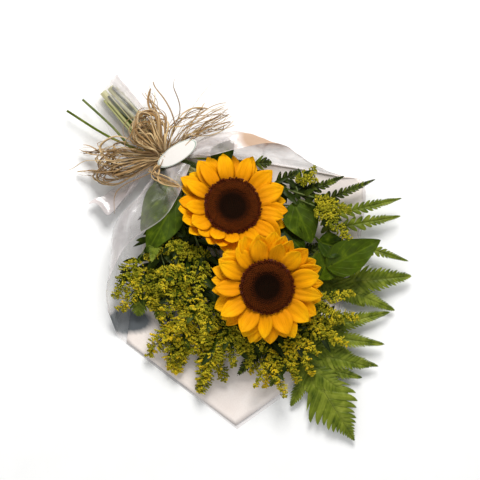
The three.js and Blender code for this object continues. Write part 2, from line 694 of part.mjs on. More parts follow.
// Fern fronds: a midrib with toothed leaflets. Each leaflet is given by the point of the midrib
// that it leaves and by its tip.
const FRONDS = [
  {
    name: "fern_1",
    slot: inBundle(1, 255),
    cutY: -232,
    through: [V(-7, -95, 6), V(6, -40, 6), V(20, 30, 8), V(30, 110, 10), V(40, 165, 12)],
    leaflets: [
      { tip: V(61, 254, 6), halfWidth: 26, teeth: 6 },
      { at: V(21, 105, 9), tip: V(-43, 199, 12), halfWidth: 12, teeth: 6 },
      { at: V(27, 125, 10), tip: V(-20, 212, 9), halfWidth: 11, teeth: 5 },
      { at: V(36, 150, 12), tip: V(3, 208, 7), halfWidth: 9, teeth: 4 },
      { at: V(39, 158, 12), tip: V(85, 173, 5), halfWidth: 9, teeth: 4 },
      { at: V(33, 122, 10), tip: V(86, 140, 8), halfWidth: 10, teeth: 4 },
    ],
  },
  {
    name: "fern_2",
    slot: inBundle(-1, 325),
    cutY: -226,
    through: [V(-38, -98, 11), V(-70, -50, 10), V(-95, 5, 12), V(-103, 50, 14), V(-100, 90, 14)],
    leaflets: [
      { tip: V(-130, 150, 20), halfWidth: 11, teeth: 6 },
      { at: V(-96, 8, 12), tip: V(-147, 28, 30), halfWidth: 7, teeth: 4 },
      { at: V(-100, 28, 13), tip: V(-170, 56, 26), halfWidth: 7, teeth: 5 },
      { at: V(-103, 48, 14), tip: V(-176, 93, 22), halfWidth: 8, teeth: 6 },
      { at: V(-103, 66, 14), tip: V(-161, 107, 14), halfWidth: 8, teeth: 5 },
      { at: V(-102, 44, 14), tip: V(-62, 92, 8), halfWidth: 8, teeth: 3 },
    ],
  },
  {
    name: "fern_3",
    slot: inBundle(1, 325),
    footPath: [V(26, -252, 15.5), V(14, -200, 16.5), V(1, -165, 16.6), V(-5, -150, 15.2)],
    through: [V(12, -104, 11), V(48, -80, 12), V(84, -60, 12), V(112, -44, 12)],
    leaflets: [
      { tip: V(136, -26, 10), halfWidth: 11, teeth: 3 },
      { at: V(88, -58, 12), tip: V(124, 2, 7), halfWidth: 12, teeth: 3 },
      { at: V(72, -66, 12), tip: V(98, 8, 7), halfWidth: 13, teeth: 4 },
      { at: V(56, -75, 12), tip: V(76, 10, 7), halfWidth: 13, teeth: 4 },
      { at: V(40, -85, 12), tip: V(52, 8, 7), halfWidth: 13, teeth: 4 },
    ],
  },
  {
    name: "fern_4",
    slot: inBundle(-1, 0),
    cutY: -222,
    through: [V(-44, -104, 16), V(-66, -80, 20), V(-84, -56, 22)],
    leaflets: [
      { tip: V(-99, -42, 24), halfWidth: 8, teeth: 3 },
      { at: V(-68, -77, 20), tip: V(-62, -46, 16), halfWidth: 7, teeth: 2 },
    ],
  },
  {
    name: "fern_5",
    slot: inBundle(-1, 290),
    cutY: -229,
    through: [V(-24, -95, 7), V(-30, -30, 7), V(-34, 40, 8), V(-44, 90, 9), V(-62, 116, 9)],
    leaflets: [
      { tip: V(-121, 165, 12), halfWidth: 13, teeth: 6 },
      { at: V(-44, 92, 9), tip: V(-79, 180, 6), halfWidth: 12, teeth: 6 },
      { at: V(-36, 52, 8), tip: V(-74, 66, 6), halfWidth: 9, teeth: 3 },
      { at: V(-39, 72, 8), tip: V(0, 104, 6), halfWidth: 9, teeth: 3 },
    ],
  },
];

// Salal stems with broad leaves. from is the point of the stem that a leaf's stalk leaves.
const SALALS = [
  {
    name: "salal_1",
    slot: inBundle(-1, 70),
    cutY: -234,
    through: [V(-34, -98, 27), V(-58, -50, 22), V(-72, 0, 22), V(-74, 50, 27), V(-66, 80, 32)],
    leaves: [
      { from: V(-72, 0, 22), base: V(-84, 8, 30), tip: V(-65, 56, 36), halfWidth: 18, up: V(-0.25, 0, 1) },
      { from: V(-66, 80, 32), base: V(-58, 88, 36), tip: V(-124, 109, 44), halfWidth: 17, up: V(0.1, 0, 1) },
      { from: V(-74, 50, 27), base: V(-72, 60, 33), tip: V(-93, 96, 40), halfWidth: 12, up: V(0.1, 0, 1) },
    ],
  },
  {
    name: "salal_2",
    slot: inBundle(1, 105).add(V(0, 0, -0.9)),
    cutY: -230,
    through: [V(-13, -104, 29), V(0, -88, 34), V(16, -78, 36)],
    leaves: [
      { from: V(0, -88, 36), base: V(8, -90, 38), tip: V(76, -70, 44), halfWidth: 17, up: V(0, 0, 1) },
    ],
  },
  {
    name: "salal_3",
    slot: inBundle(1, 290),
    cutY: -224,
    through: [V(6, -95, 12), V(28, -30, 16), V(42, 40, 24), V(46, 70, 28)],
    leaves: [
      { from: V(46, 70, 28), base: V(50, 72, 26), tip: V(78, 98, 19), halfWidth: 12, up: V(0, 0, 1) },
      { from: V(42, 40, 24), base: V(48, 44, 20), tip: V(98, 74, 13), halfWidth: 12, up: V(0, 0, 1) },
      { from: V(28, -30, 16), base: V(32, -24, 18), tip: V(62, 10, 22), halfWidth: 12, up: V(0, 0, 1) },
    ],
  },
];

// Goldenrod: a green stem with branches, and at the end of each a plume of small heads. The first
// plume ends the stem itself; from is the share of the stem at which another plume branches off.
const SPRAYS = [
  {
    name: "goldenrod_1",
    slot: inBundle(1, 0),
    footPath: [V(4, -248, 20), V(2, -200, 22), V(4, -165, 21.5), V(0.5, -150, 17.5)],
    through: [V(16, -102, 22), V(46, -76, 26), V(76, -58, 24)],
    plumes: [
      { base: V(84, -55, 22), tip: V(144, -46, 15), width: 18 },
      { from: 0.86, base: V(72, -46, 30), tip: V(108, -20, 28), width: 16 },
      { from: 0.7, base: V(46, -62, 38), tip: V(60, -30, 42), width: 14 },
      { from: 0.55, base: V(34, -62, 24), tip: V(80, -66, 30), width: 13 },
    ],
  },
  {
    name: "goldenrod_2",
    slot: inBundle(1, 35),
    cutY: -230,
    through: [V(8, -98, 24), V(36, -50, 24), V(66, -6, 26)],
    plumes: [
      { base: V(74, 4, 27), tip: V(149, 46, 10), width: 22 },
      { from: 0.86, base: V(64, -16, 34), tip: V(118, -6, 26), width: 17 },
      { from: 0.72, base: V(52, -24, 36), tip: V(94, -32, 42), width: 14 },
      { from: 0.95, base: V(62, 12, 38), tip: V(114, 18, 34), width: 14 },
    ],
  },
  {
    name: "goldenrod_3",
    slot: inBundle(1, 70),
    cutY: -226,
    through: [V(4, -94, 28), V(26, -40, 30), V(52, 20, 30)],
    plumes: [
      { base: V(64, 44, 30), tip: V(145, 86, 9), width: 17 },
      { from: 0.9, base: V(58, 24, 34), tip: V(100, 48, 26), width: 14 },
      { from: 0.62, base: V(34, -18, 40), tip: V(68, 6, 46), width: 13 },
      { from: 0.95, base: V(54, 50, 40), tip: V(102, 74, 34), width: 14 },
    ],
  },
  {
    name: "goldenrod_4",
    slot: SLOT_BETWEEN_BELOW,
    cutY: -228,
    through: [V(-3, -95, 12), V(16, -30, 13), V(32, 40, 17), V(36, 90, 21)],
    plumes: [
      { base: V(40, 112, 22), tip: V(89, 134, 12), width: 11 },
      { from: 0.95, base: V(30, 112, 26), tip: V(54, 146, 20), width: 10 },
      { from: 0.93, base: V(53, 106, 30), tip: V(81, 158, 22), width: 10 },
      { from: 0.88, base: V(24, 118, 34), tip: V(40, 164, 20), width: 10 },
    ],
  },
  {
    name: "goldenrod_5",
    slot: inBundle(-1, 255),
    cutY: -227,
    through: [V(-16, -95, 12), V(-12, -30, 13), V(2, 50, 18), V(6, 90, 24)],
    plumes: [
      { base: V(2, 104, 27), tip: V(-42, 154, 26), width: 14 },
      { from: 0.95, base: V(12, 112, 28), tip: V(-12, 166, 22), width: 12 },
      { from: 0.92, base: V(-8, 96, 33), tip: V(-58, 130, 30), width: 11 },
    ],
  },
  {
    name: "goldenrod_6",
    slot: inBundle(-1, 35),
    cutY: -231,
    through: [V(-38, -98, 20), V(-76, -44, 19), V(-90, 6, 26)],
    plumes: [
      { base: V(-98, 28, 38), tip: V(-99, 82, 41), width: 13 },
      { from: 0.9, base: V(-100, -6, 30), tip: V(-128, -2, 32), width: 10 },
    ],
  },
];

// All stems take their lines together
function stemOf(spec, through, segments, radius) {
  const line = stemLine(spec, through, segments);
  const footCount = spec.footPath ? spec.footPath.length : 2;
  return { line, footCount, radius };
}

for (const head of HEADS) {
  head.group = new THREE.Group();
  head.group.name = head.name;
  head.group.position.copy(head.centre);
  head.group.quaternion.setFromUnitVectors(V(0, 0, 1), head.lean.clone().normalize());
  bunch.add(head.group);
  head.group.updateMatrixWorld(true);
  const below = V(0, 0, -head.neck - 6).applyMatrix4(head.group.matrixWorld);
  const top = V(0, 0, -head.neck + 3).applyMatrix4(head.group.matrixWorld);
  head.stem = stemOf(head, [...head.through, below, top], 10, HEAD_STEM_RADIUS);
}
for (const spec of FRONDS) spec.stem = stemOf(spec, spec.through, 10, THIN_STEM_RADIUS);
for (const spec of SALALS) spec.stem = stemOf(spec, spec.through, 9, THIN_STEM_RADIUS);
for (const spec of SPRAYS)
  spec.stem = stemOf(spec, [...spec.through, spec.plumes[0].base], 9, THIN_STEM_RADIUS);
const THIN_STEMS = [...SPRAYS, ...SALALS, ...FRONDS];
settle([...HEADS, ...THIN_STEMS].map((spec) => spec.stem));

function sunflower(head) {
  const stem = tubeThrough(head.stem.line, () => HEAD_STEM_RADIUS, 6);
  const base = receptacle(head.discRadius, head.neck).transform(head.group.matrixWorld.elements);
  add(head.name + "_stem", join([stem, base]), COLOURS.stem);
  add(head.name + "_disc", discSolid(head.discRadius), COLOURS.disc, 0.9, head.group);
  add(head.name + "_petals", petalRing(head), COLOURS.petal, 0.55, head.group);
}

function thinStem(spec) {
  const taper = (t) => lerp(THIN_STEM_RADIUS, 1, clamp01((t - 0.5) / 0.5));
  return tubeThrough(spec.stem.line, taper, 4);
}

function frond(spec) {
  const { line } = spec.stem;
  const leaflet = ({ at, tip, halfWidth, teeth }) => {
    const base = at ? nearestOn(line, at) : line.at(-1);
    const bentTo = (lift) =>
      leaf({
        base,
        tip: tip.clone().add(V(0, 0, lift)),
        halfWidth,
        up: V(0, 0, 1),
        arch: 3,
        teeth,
        shape: "pinna",
      });
    return firstClear(LIFTS, bentTo, [spec.name]);
  };
  return join([thinStem(spec), ...spec.leaflets.map(leaflet)]);
}

function salal(spec) {
  const { line } = spec.stem;
  const leaves = spec.leaves.map((one) =>
    stalkedLeaf(nearestOn(line, one.from), { ...one, arch: 3.5, cup: 3, steps: 4 }, spec.name),
  );
  return join([thinStem(spec), ...leaves]);
}

// The stem of a spray with its branches. A plume moves with the end of its branch.
function sprayStem(spec) {
  const { line } = spec.stem;
  const parts = [thinStem(spec)];
  for (const plume of spec.plumes.slice(1)) {
    const root = pointAlong(line, plume.from);
    const ahead = pointAlong(line, Math.min(1, plume.from + 0.04)).sub(root).normalize();
    let raised = 0;
    const branch = firstClear(
      LIFTS,
      (lift) => {
        raised = lift;
        const end = plume.base.clone().add(V(0, 0, lift));
        const bend = root.clone().lerp(end, 0.5).addScaledVector(ahead, 4);
        return tube([root, bend, end], 1, 3, 3);
      },
      [spec.name + "_stem"],
    );
    plume.base.z += branch ? raised : 0;
    plume.tip.z += branch ? raised : 0;
    plume.missing = !branch;
    parts.push(branch);
  }
  return join(parts);
}

// A plume: a slim core along a drooping line, covered with pointed sprigs of florets that stand
// out and lean forward, each between the sprigs of the step before
const SPRIG_PITCH = 6;
const PLUME_SIDES = 8;
const SHRINKS = [1, 0.8, 0.62];
const SKIPS = [0.5, 0.9, 1.4, 2]; // how far a plume begins beyond the end of its branch

function plumeSolid(base, tip, width, key) {
  const reach = base.distanceTo(tip);
  const middle = base.clone().lerp(tip, 0.5).add(V(0, 0, reach * 0.1));
  const curve = new THREE.CatmullRomCurve3([base, middle, tip]);
  const steps = Math.max(4, Math.round(reach / SPRIG_PITCH));
  const opens = (i, k) => i > 0 && i < steps && (i + k) % 2 === 0;
  const rings = [];
  for (let i = 0; i <= steps; i++) {
    const s = i / steps;
    const centre = curve.getPoint(s);
    const along = curve.getTangent(s);
    const side = along.clone().cross(V(0, 0, 1)).normalize();
    const over = side.clone().cross(along).normalize();
    const breadth = width * Math.min(1, 0.45 + 2.2 * s) * (1 - 0.72 * s);
    const ring = [];
    for (let k = 0; k < PLUME_SIDES; k++) {
      const angle = ((k + 0.5) / PLUME_SIDES) * Math.PI * 2;
      const chance = draw(key + 17 * i + k);
      const core = Math.min(0.3 * breadth, 1.2 + 8 * s * (1 - s));
      const out = opens(i, k) ? breadth * (0.75 + 0.5 * chance) : core;
      const forward = opens(i, k) ? SPRIG_PITCH * (0.7 + 0.6 * chance) : 0;
      ring.push(
        centre
          .clone()
          .addScaledVector(side, Math.cos(angle) * out)
          .addScaledVector(over, Math.sin(angle) * out * 0.75)
          .addScaledVector(along, forward),
      );
    }
    rings.push(ring);
  }
  return ringSolid(rings, (i, k) => (i + k) % 2 !== 0);
}

function plume({ base, tip, width }, key) {
  const way = tip.clone().sub(base).normalize();
  const bends = SHRINKS.flatMap((shrink) =>
    LIFTS.flatMap((lift) => SKIPS.map((skip) => ({ shrink, lift, skip }))),
  );
  return firstClear(bends, ({ shrink, lift, skip }) =>
    plumeSolid(
      base.clone().addScaledVector(way, skip),
      tip.clone().add(V(0, 0, lift * 0.6)),
      width * shrink,
      key,
    ),
  );
}

// The raffia tie: a band round the gathered wrap, a knot on top, loops and loose ends
const BAND_WIDTH = 7;
const BAND_THICKNESS = 2.1;
const KNOT = V(-16, -134, 33);
const KNOT_SIZE = V(11, 6.5, 5.6); // half its size each way
const KNOT_SIDES = 8;
const STRAND = { halfWidth: 2.6, flatness: 0.45 }; // a few fibres that run together

function raffiaBand() {
  const count = 20;
  const inner = FILM_THICKNESS / 2 + CLEARANCE;
  const outer = inner + BAND_THICKNESS;
  const section = [[inner, -1], [outer, -0.8], [outer, 0.8], [inner, 1]];
  const points = [];
  for (let k = 0; k < count; k++)
    for (const [grow, y] of section) {
      const around = { a: FILM_AT_TIE.a + grow, b: FILM_AT_TIE.b + grow };
      points.push(onEllipse(TIE, around, (k / count) * 360).add(V(0, (y * BAND_WIDTH) / 2, 0)));
    }
  const triangles = [];
  for (let i = 0; i < count; i++)
    for (let k = 0; k < 4; k++) {
      const next = ((i + 1) % count) * 4;
      const [a, b] = [i * 4 + k, i * 4 + ((k + 1) % 4)];
      const [c, d] = [next + k, next + ((k + 1) % 4)];
      triangles.push(a, b, c, b, d, c);
    }
  return solidFrom(points, triangles);
}

const LOOPS = [
  // far is the middle of the loop's far end and spread half its width there
  { far: V(52, -184, 18), spread: 11, lift: 10 },
  { far: V(46, -170, 30), spread: 9, lift: 8 },
  { far: V(40, -192, 26), spread: 12, lift: 14 },
  { far: V(-24, -190, 44), spread: 15, lift: 14 },
  { far: V(-38, -186, 36), spread: 12, lift: 18 },
  { far: V(-14, -178, 50), spread: 10, lift: 12 },
];
const TAILS = [
  [V(-36, -133, 34.5), V(-58, -131, 36), V(-102, -116, 27)],
  [V(-36, -136, 35), V(-60, -140, 40), V(-104, -124, 33)],
  [V(-34, -131, 34), V(-57, -127, 37), V(-96, -108, 42)],
  [V(-32, -142, 36), V(-50, -151, 44), V(-88, -140, 34)],
  [V(-26, -147, 38), V(-42, -170, 46), V(-56, -200, 24)],
  [V(2, -133, 38), V(4, -116, 48), V(-2, -97, 57)],
  [V(2, -146, 36), V(20, -176, 32), V(46, -206, 8)],
  [V(4, -141, 36), V(32, -158, 36), V(66, -190, 6)],
];

function raffiaTie() {
  const knotRings = [-0.9, -0.45, 0.2, 0.9].map((h, i) =>
    Array.from({ length: KNOT_SIDES }, (_, k) => {
      const angle = (k / KNOT_SIDES) * Math.PI * 2;
      const lump = Math.sqrt(1 - h * h) * (1 + 0.16 * Math.sin(k * 2.1 + i * 1.3));
      const { x, y, z } = KNOT_SIZE;
      return KNOT.clone().add(V(Math.cos(angle) * x * lump, Math.sin(angle) * y * lump, h * z));
    }),
  );
  const parts = [raffiaBand(), ringSolid(knotRings)];
  const strand = (make) => parts.push(firstClear([0, 5, 10, 16, 24], make));
  const inKnot = (toward, offset, level) => {
    const way = toward.clone().sub(KNOT).setZ(0).normalize();
    const side = way.clone().cross(V(0, 0, 1));
    return KNOT.clone().addScaledVector(way, 5).addScaledVector(side, offset).add(V(0, 0, level));
  };
  LOOPS.forEach((loop, i) => {
    const level = ((i % 3) - 1) * 2.8;
    const side = loop.far.clone().sub(KNOT).cross(V(0, 0, 1)).normalize();
    strand((lift) => {
      const far = loop.far.clone().add(V(0, 0, lift));
      const near = (sign, t, up) => {
        const spread = sign * loop.spread * Math.min(1, t * 1.4);
        return KNOT.clone().lerp(far, t).addScaledVector(side, spread).add(V(0, 0, up));
      };
      const path = [
        inKnot(far, 3, level),
        near(1, 0.35, loop.lift),
        near(1, 0.8, loop.lift * 0.7),
        far,
        near(-1, 0.8, loop.lift * 0.5),
        near(-1, 0.35, loop.lift * 0.8),
        inKnot(far, -3, level),
      ];
      return tube(path, STRAND.halfWidth, 3, 8, STRAND.flatness);
    });
  });
  TAILS.forEach((tail, i) => {
    const start = inKnot(tail[0], ((i % 5) - 2) * 1.6, ((i % 3) - 1) * 2.4);
    strand((lift) => {
      const raised = tail.map((p, k) => p.clone().add(V(0, 0, (lift * k) / 2)));
      return tube([start, ...raised], STRAND.halfWidth, 3, 5, STRAND.flatness);
    });
  });
  return join(parts);
}

// A plain oval card that rests on the knot
const LABEL = {
  centre: V(-29, -126, 39.35),
  halfLength: 26,
  halfWidth: 10,
  thickness: 0.8,
  tilt: degrees(-3),
  turn: degrees(167.7),
};

function labelCard() {
  const sides = 22;
  const ring = (z) =>
    Array.from({ length: sides }, (_, k) => {
      const angle = (k / sides) * Math.PI * 2;
      return V(Math.cos(angle) * LABEL.halfLength, Math.sin(angle) * LABEL.halfWidth, z);
    });
  return ringSolid([ring(-LABEL.thickness / 2), ring(LABEL.thickness / 2)]);
}

function addLabel() {
  const group = new THREE.Group();
  group.position.copy(LABEL.centre);
  group.rotation.set(0, LABEL.tilt, LABEL.turn);
  bunch.add(group);
  add("label", labelCard(), COLOURS.label, 0.4, group);
}

// The build, in the order in which pieces make way for each other

add("film_wrap", blade(FILM_GRID, FILM_THICKNESS), COLOURS.film, 0.25);
add("paper_liner", paperLiner(), COLOURS.paper, 0.8);
for (const head of HEADS) sunflower(head);
for (const spec of SPRAYS) reserve(spec.name + "_stem", thinStem(spec));
for (const spec of [...FRONDS, ...SALALS]) reserve(spec.name, thinStem(spec));
for (const spec of FRONDS) add(spec.name, frond(spec), COLOURS.fern);
for (const spec of SALALS) add(spec.name, salal(spec), COLOURS.salal, 0.45);
for (const spec of SPRAYS) add(spec.name + "_stem", sprayStem(spec), COLOURS.goldenrodStem);
SPRAYS.forEach((spec, i) =>
  spec.plumes.forEach((one, k) => {
    if (!one.missing)
      add(spec.name + "_plume_" + (k + 1), plume(one, 300 * i + 40 * k), COLOURS.goldenrod, 0.8);
  }),
);
addLabel();
add("raffia_tie", raffiaTie(), COLOURS.raffia, 0.85);

export default bunch;
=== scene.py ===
import math

import bpy
import numpy as np
from mathutils import Matrix, Vector, kdtree


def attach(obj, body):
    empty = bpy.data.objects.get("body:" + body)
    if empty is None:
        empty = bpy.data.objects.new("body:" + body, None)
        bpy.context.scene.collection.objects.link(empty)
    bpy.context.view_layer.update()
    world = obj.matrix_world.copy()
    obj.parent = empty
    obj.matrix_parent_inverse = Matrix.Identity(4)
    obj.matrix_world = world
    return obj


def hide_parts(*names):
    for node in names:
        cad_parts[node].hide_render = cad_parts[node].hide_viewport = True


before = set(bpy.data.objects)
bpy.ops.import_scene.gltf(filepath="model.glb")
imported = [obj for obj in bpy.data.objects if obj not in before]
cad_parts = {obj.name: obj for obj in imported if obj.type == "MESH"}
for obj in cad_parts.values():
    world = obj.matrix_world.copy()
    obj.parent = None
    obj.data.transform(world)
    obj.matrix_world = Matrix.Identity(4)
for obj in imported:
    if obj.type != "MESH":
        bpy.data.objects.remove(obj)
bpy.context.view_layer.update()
MM = 0.001


# Driving dimensions, the same as in the part's source

def V(x, y, z):
    return Vector((x, y, z))


UP = V(0, 0, 1)
TIE = V(-15.5, -133, 14.9)
FOOT = V(-24, -241, 12.8)
CLEARANCE = 0.35
SHEET_STEP = 1.3  # from the film's middle surface to the paper's
FILM_AT_TIE = (15.6, 11)
FILM_AT_FOOT = (20, 11.2)
COLLAR = 4.5
HEAD_STEM_RADIUS = 4.5
THIN_STEM_RADIUS = 1.6
PAIR_OFFSET = HEAD_STEM_RADIUS + 0.4
RING_OFFSET = HEAD_STEM_RADIUS + THIN_STEM_RADIUS + 0.4

# Rays of the film: angle at the tie, end on the sheet's edge, bow, hump (None on the surface), foot
FLAT = None
RAYS = [
    (100, V(-30, -106, 34), V(0, 0, 0), 2, V(-12, -145, 27)),
    (84, V(5, -91, 44), V(0, 0, 0), 7, V(0, -146, 28)),
    (66, V(31, -83, 55), V(0, 0, 0), 10, V(16, -148, 27)),
    (48, V(69, -89, 56), V(2, -6, 0), 13, V(38, -150, 24)),
    (32, V(98, -88, 55), V(3, -10, 0), 14, V(82, -157, 13)),
    (17, V(132, -78, 44), V(6, -10, 0), 12, V(48, -160, 9)),
    (2, V(149, -62, 27), V(8, -8, 0), 6, V(22, -166, 7)),
    (-16, V(164, -38, 10), V(8, -4, 0), 0, -8),
    (-34, V(169, -13, 0.4), V(6, 0, 0), FLAT, -32),
    (-54, V(159, 67, 0.4), V(0, 0, 0), FLAT, -55),
    (-72, V(148, 148, 0.4), V(0, 0, 0), FLAT, -75),
    (-90, V(89, 158, 0.4), V(0, 0, 0), FLAT, -95),
    (-108, V(30, 167, 0.4), V(0, 0, 0), FLAT, -115),
    (-126, V(-32, 138, 0.4), V(0, 0, 0), FLAT, -137),
    (-143, V(-96, 102, 0.4), V(0, 0, 0), FLAT, -160),
    (-158, V(-156, 54, 9), V(0, 0, 0), -4, -182),
    (-172, V(-147, 28, 12), V(-3, 0, 0), -3, -204),
    (-187, V(-131, -6, 22), V(-9, -4, 0), -2, -226),
    (-203, V(-120, -52, 38), V(-16, -8, 0), 0, -248),
    (-219, V(-84, -79, 44), V(-12, -6, 0), 0, -270),
    (-234, V(-58, -95, 39), V(-5, -2, 0), 1, -288),
    (-247, V(-42, -105, 34), V(0, 0, 0), 1, -304),
]
FLOOR_REACH = 0.24
CONE_STEPS = (0, 0.12, FLOOR_REACH, 0.4, 0.68, 1)
FOOT_STEPS = (1, 0.5, 0)
PAPER_RAYS = (8, 17)
PAPER_REACH = 0.95
PAPER_START = 0.3


# Numbers and curves

def draw(key):
    """A repeatable number from 0 to 1 for a whole-number key"""
    s = math.sin(key * 12.9898 + 4.1414) * 43758.5453
    return s - math.floor(s)


def draws(key, count):
    """A row of repeatable numbers from 0 to 1"""
    s = np.sin((key + np.arange(count)) * 12.9898 + 4.1414) * 43758.5453
    return s - np.floor(s)


def lerp(a, b, t):
    return a + (b - a) * t


def clamp01(t):
    return min(1.0, max(0.0, t))


def curve_point(points, t):
    """A point of the smooth curve through a few points, at a parameter from 0 to 1"""
    last = len(points) - 1
    i = min(int(t * last), last - 1)
    w = t * last - i
    p1, p2 = points[i], points[i + 1]
    p0 = points[i - 1] if i > 0 else 2 * p1 - p2
    p3 = points[i + 2] if i + 2 <= last else 2 * p2 - p1
    d0, d1, d2 = (math.sqrt(max((b - a).length, 1e-6)) for a, b in ((p0, p1), (p1, p2), (p2, p3)))
    m1 = ((p1 - p0) / d0 - (p2 - p0) / (d0 + d1) + (p2 - p1) / d1) * d1
    m2 = ((p2 - p1) / d1 - (p3 - p1) / (d1 + d2) + (p3 - p2) / d2) * d1
    bend = 3 * (p2 - p1) - 2 * m1 - m2
    return p1 + m1 * w + bend * w**2 + (2 * (p1 - p2) + m1 + m2) * w**3


def spaced_points(points, segments):
    """Evenly spaced points on that curve"""
    fine = 200
    samples = [curve_point(points, k / fine) for k in range(fine + 1)]
    lengths = [0.0]
    for a, b in zip(samples, samples[1:]):
        lengths.append(lengths[-1] + (b - a).length)
    wanted = np.linspace(0, lengths[-1], segments + 1)
    return [curve_point(points, t) for t in np.interp(wanted, lengths, np.linspace(0, 1, fine + 1))]


def point_along(line, share):
    """The point at a share of the way along a polyline"""
    lengths = [(b - a).length for a, b in zip(line, line[1:])]
    left = share * sum(lengths)
    for a, b, length in zip(line, line[1:], lengths):
        if left <= length:
            return a.lerp(b, left / length)
        left -= length
    return line[-1].copy()


def nearest_shares(a, b, c, d):
    """The nearest points of two segments, as shares of each"""
    u, v, w = b - a, d - c, a - c
    uu, uv, vv, uw, vw = u.dot(u), u.dot(v), v.dot(v), u.dot(w), v.dot(w)
    span = uu * vv - uv * uv
    s = clamp01((uv * vw - vv * uw) / span) if span > 1e-9 else 0.5
    t = clamp01((uv * s + vw) / vv)
    return clamp01((uv * t - uw) / uu), t


def nearest_on(line, p):
    """The point of a polyline that is nearest to p"""
    best = line[0]
    for a, b in zip(line, line[1:]):
        along = b - a
        q = a.lerp(b, clamp01((p - a).dot(along) / along.dot(along)))
        if (q - p).length < (best - p).length:
            best = q
    return best


def refine(grid, steps, axis=0):
    """A grid with several times as many cells along one axis, on smooth curves through its points"""
    g = np.moveaxis(np.asarray(grid, float), axis, 0)
    p1, p2 = g[:-1], g[1:]
    p0 = np.concatenate([2 * g[:1] - g[1:2], g[:-2]])
    p3 = np.concatenate([g[2:], 2 * g[-1:] - g[-2:-1]])
    parts = []
    for w in np.arange(steps) / steps:
        cubic = -p0 + 3 * p1 - 3 * p2 + p3
        square = 2 * p0 - 5 * p1 + 4 * p2 - p3
        parts.append(p1 + 0.5 * ((p2 - p0) * w + square * w**2 + cubic * w**3))
    fine = np.stack(parts, axis=1).reshape(-1, *g.shape[1:])
    return np.moveaxis(np.concatenate([fine, g[-1:]]), 0, axis)


def ripple(points, size, seed):
    """A smooth field of about -1 to 1 over points, with waves about size long"""
    total = np.zeros(points.shape[:-1])
    for k in range(5):
        way = np.array([draw(seed + 7 * k + n) - 0.5 for n in range(3)])
        way /= np.linalg.norm(way)
        pitch = size * (0.6 + 0.9 * draw(seed + 91 + k))
        total += np.sin(points @ way * (2 * math.pi / pitch) + 9 * draw(seed + 57 + k))
    return total / 3


def normals_of(grid):
    """Directions square to a grid of points"""
    across = np.gradient(grid, axis=1)
    along = np.gradient(grid, axis=0)
    n = np.cross(across, along)
    return n / np.maximum(np.linalg.norm(n, axis=-1, keepdims=True), 1e-9)


# Pieces: surfaces are gathered in a Shape, and a Shape becomes one Blender object

class Shape:
    """Points and faces, with a place across and along each surface, and a tone for each part of it"""

    def __init__(self):
        self.points, self.faces, self.places, self.tones = [], [], [], []
        self.count = 0

    def take(self, points, faces, places, tone):
        points = np.asarray(points, float).reshape(-1, 3)
        self.points.append(points)
        self.faces.extend((np.asarray(face) + self.count).tolist() for face in faces)
        self.places.append(np.asarray(places, float).reshape(-1, 2))
        self.tones.append(np.broadcast_to(np.asarray(tone, float).ravel(), (len(points),)))
        self.count += len(points)

    def grid(self, rows, tone=0.5):
        """A surface through rows of points of equal length"""
        rows = np.asarray(rows, float)
        r, c = rows.shape[:2]
        i, j = np.meshgrid(np.arange(r - 1), np.arange(c - 1), indexing="ij")
        a = (i * c + j).ravel()
        faces = np.stack([a, a + 1, a + c + 1, a + c], axis=1)
        v, u = np.meshgrid(np.linspace(0, 1, r), np.linspace(0, 1, c), indexing="ij")
        self.take(rows, faces, np.stack([u, v], axis=-1), tone)

    def tube(self, points, radius, sides=8, flatness=1.0, tone=0.5, closed_ends=True):
        """A tube along a polyline. radius is a number or a function of the share of the way."""
        rings = tube_rings(points, radius, sides, flatness)
        if closed_ends:
            start, end = rings[0].mean(axis=0), rings[-1].mean(axis=0)
            caps = (np.repeat(p[None, None], sides + 1, axis=1) for p in (start, end))
            rings = np.concatenate([next(caps), rings, next(caps)])
        self.grid(rings, tone)

    def copies(self, template, origins, frames, tones):
        """Copies of a small template, each with its own origin, axes and tone"""
        points, faces, places = template
        n, k = len(origins), len(points)
        placed = np.einsum("kc,ncd->nkd", points, frames) + origins[:, None, :]
        shift = np.arange(n)[:, None] * k + self.count
        for face in faces:
            self.faces.extend((shift + np.asarray(face)[None, :]).tolist())
        self.points.append(placed.reshape(-1, 3))
        self.places.append(np.tile(places, (n, 1)))
        self.tones.append(np.repeat(tones, k))
        self.count += n * k


def tube_rings(points, radius, sides, flatness):
    radius_at = radius if callable(radius) else (lambda share: radius)
    last = len(points) - 1
    normal = None
    rings = []
    angles = (np.arange(sides + 1) % sides + 0.5) / sides * 2 * math.pi
    for i, centre in enumerate(points):
        tangent = (points[min(i + 1, last)] - points[max(i - 1, 0)]).normalized()
        if normal is None:
            normal = (UP if abs(tangent.z) < 0.8 else V(1, 0, 0)).cross(tangent)
        normal = (normal - tangent * normal.dot(tangent)).normalized()
        binormal = tangent.cross(normal)
        r = radius_at(i / last)
        across = np.outer(np.cos(angles) * r, binormal)
        over = np.outer(np.sin(angles) * r * flatness, normal)
        rings.append(np.array(centre) + across + over)
    return np.array(rings)


ON_SURFACE = 0.2
ON_PAPER = 1.9


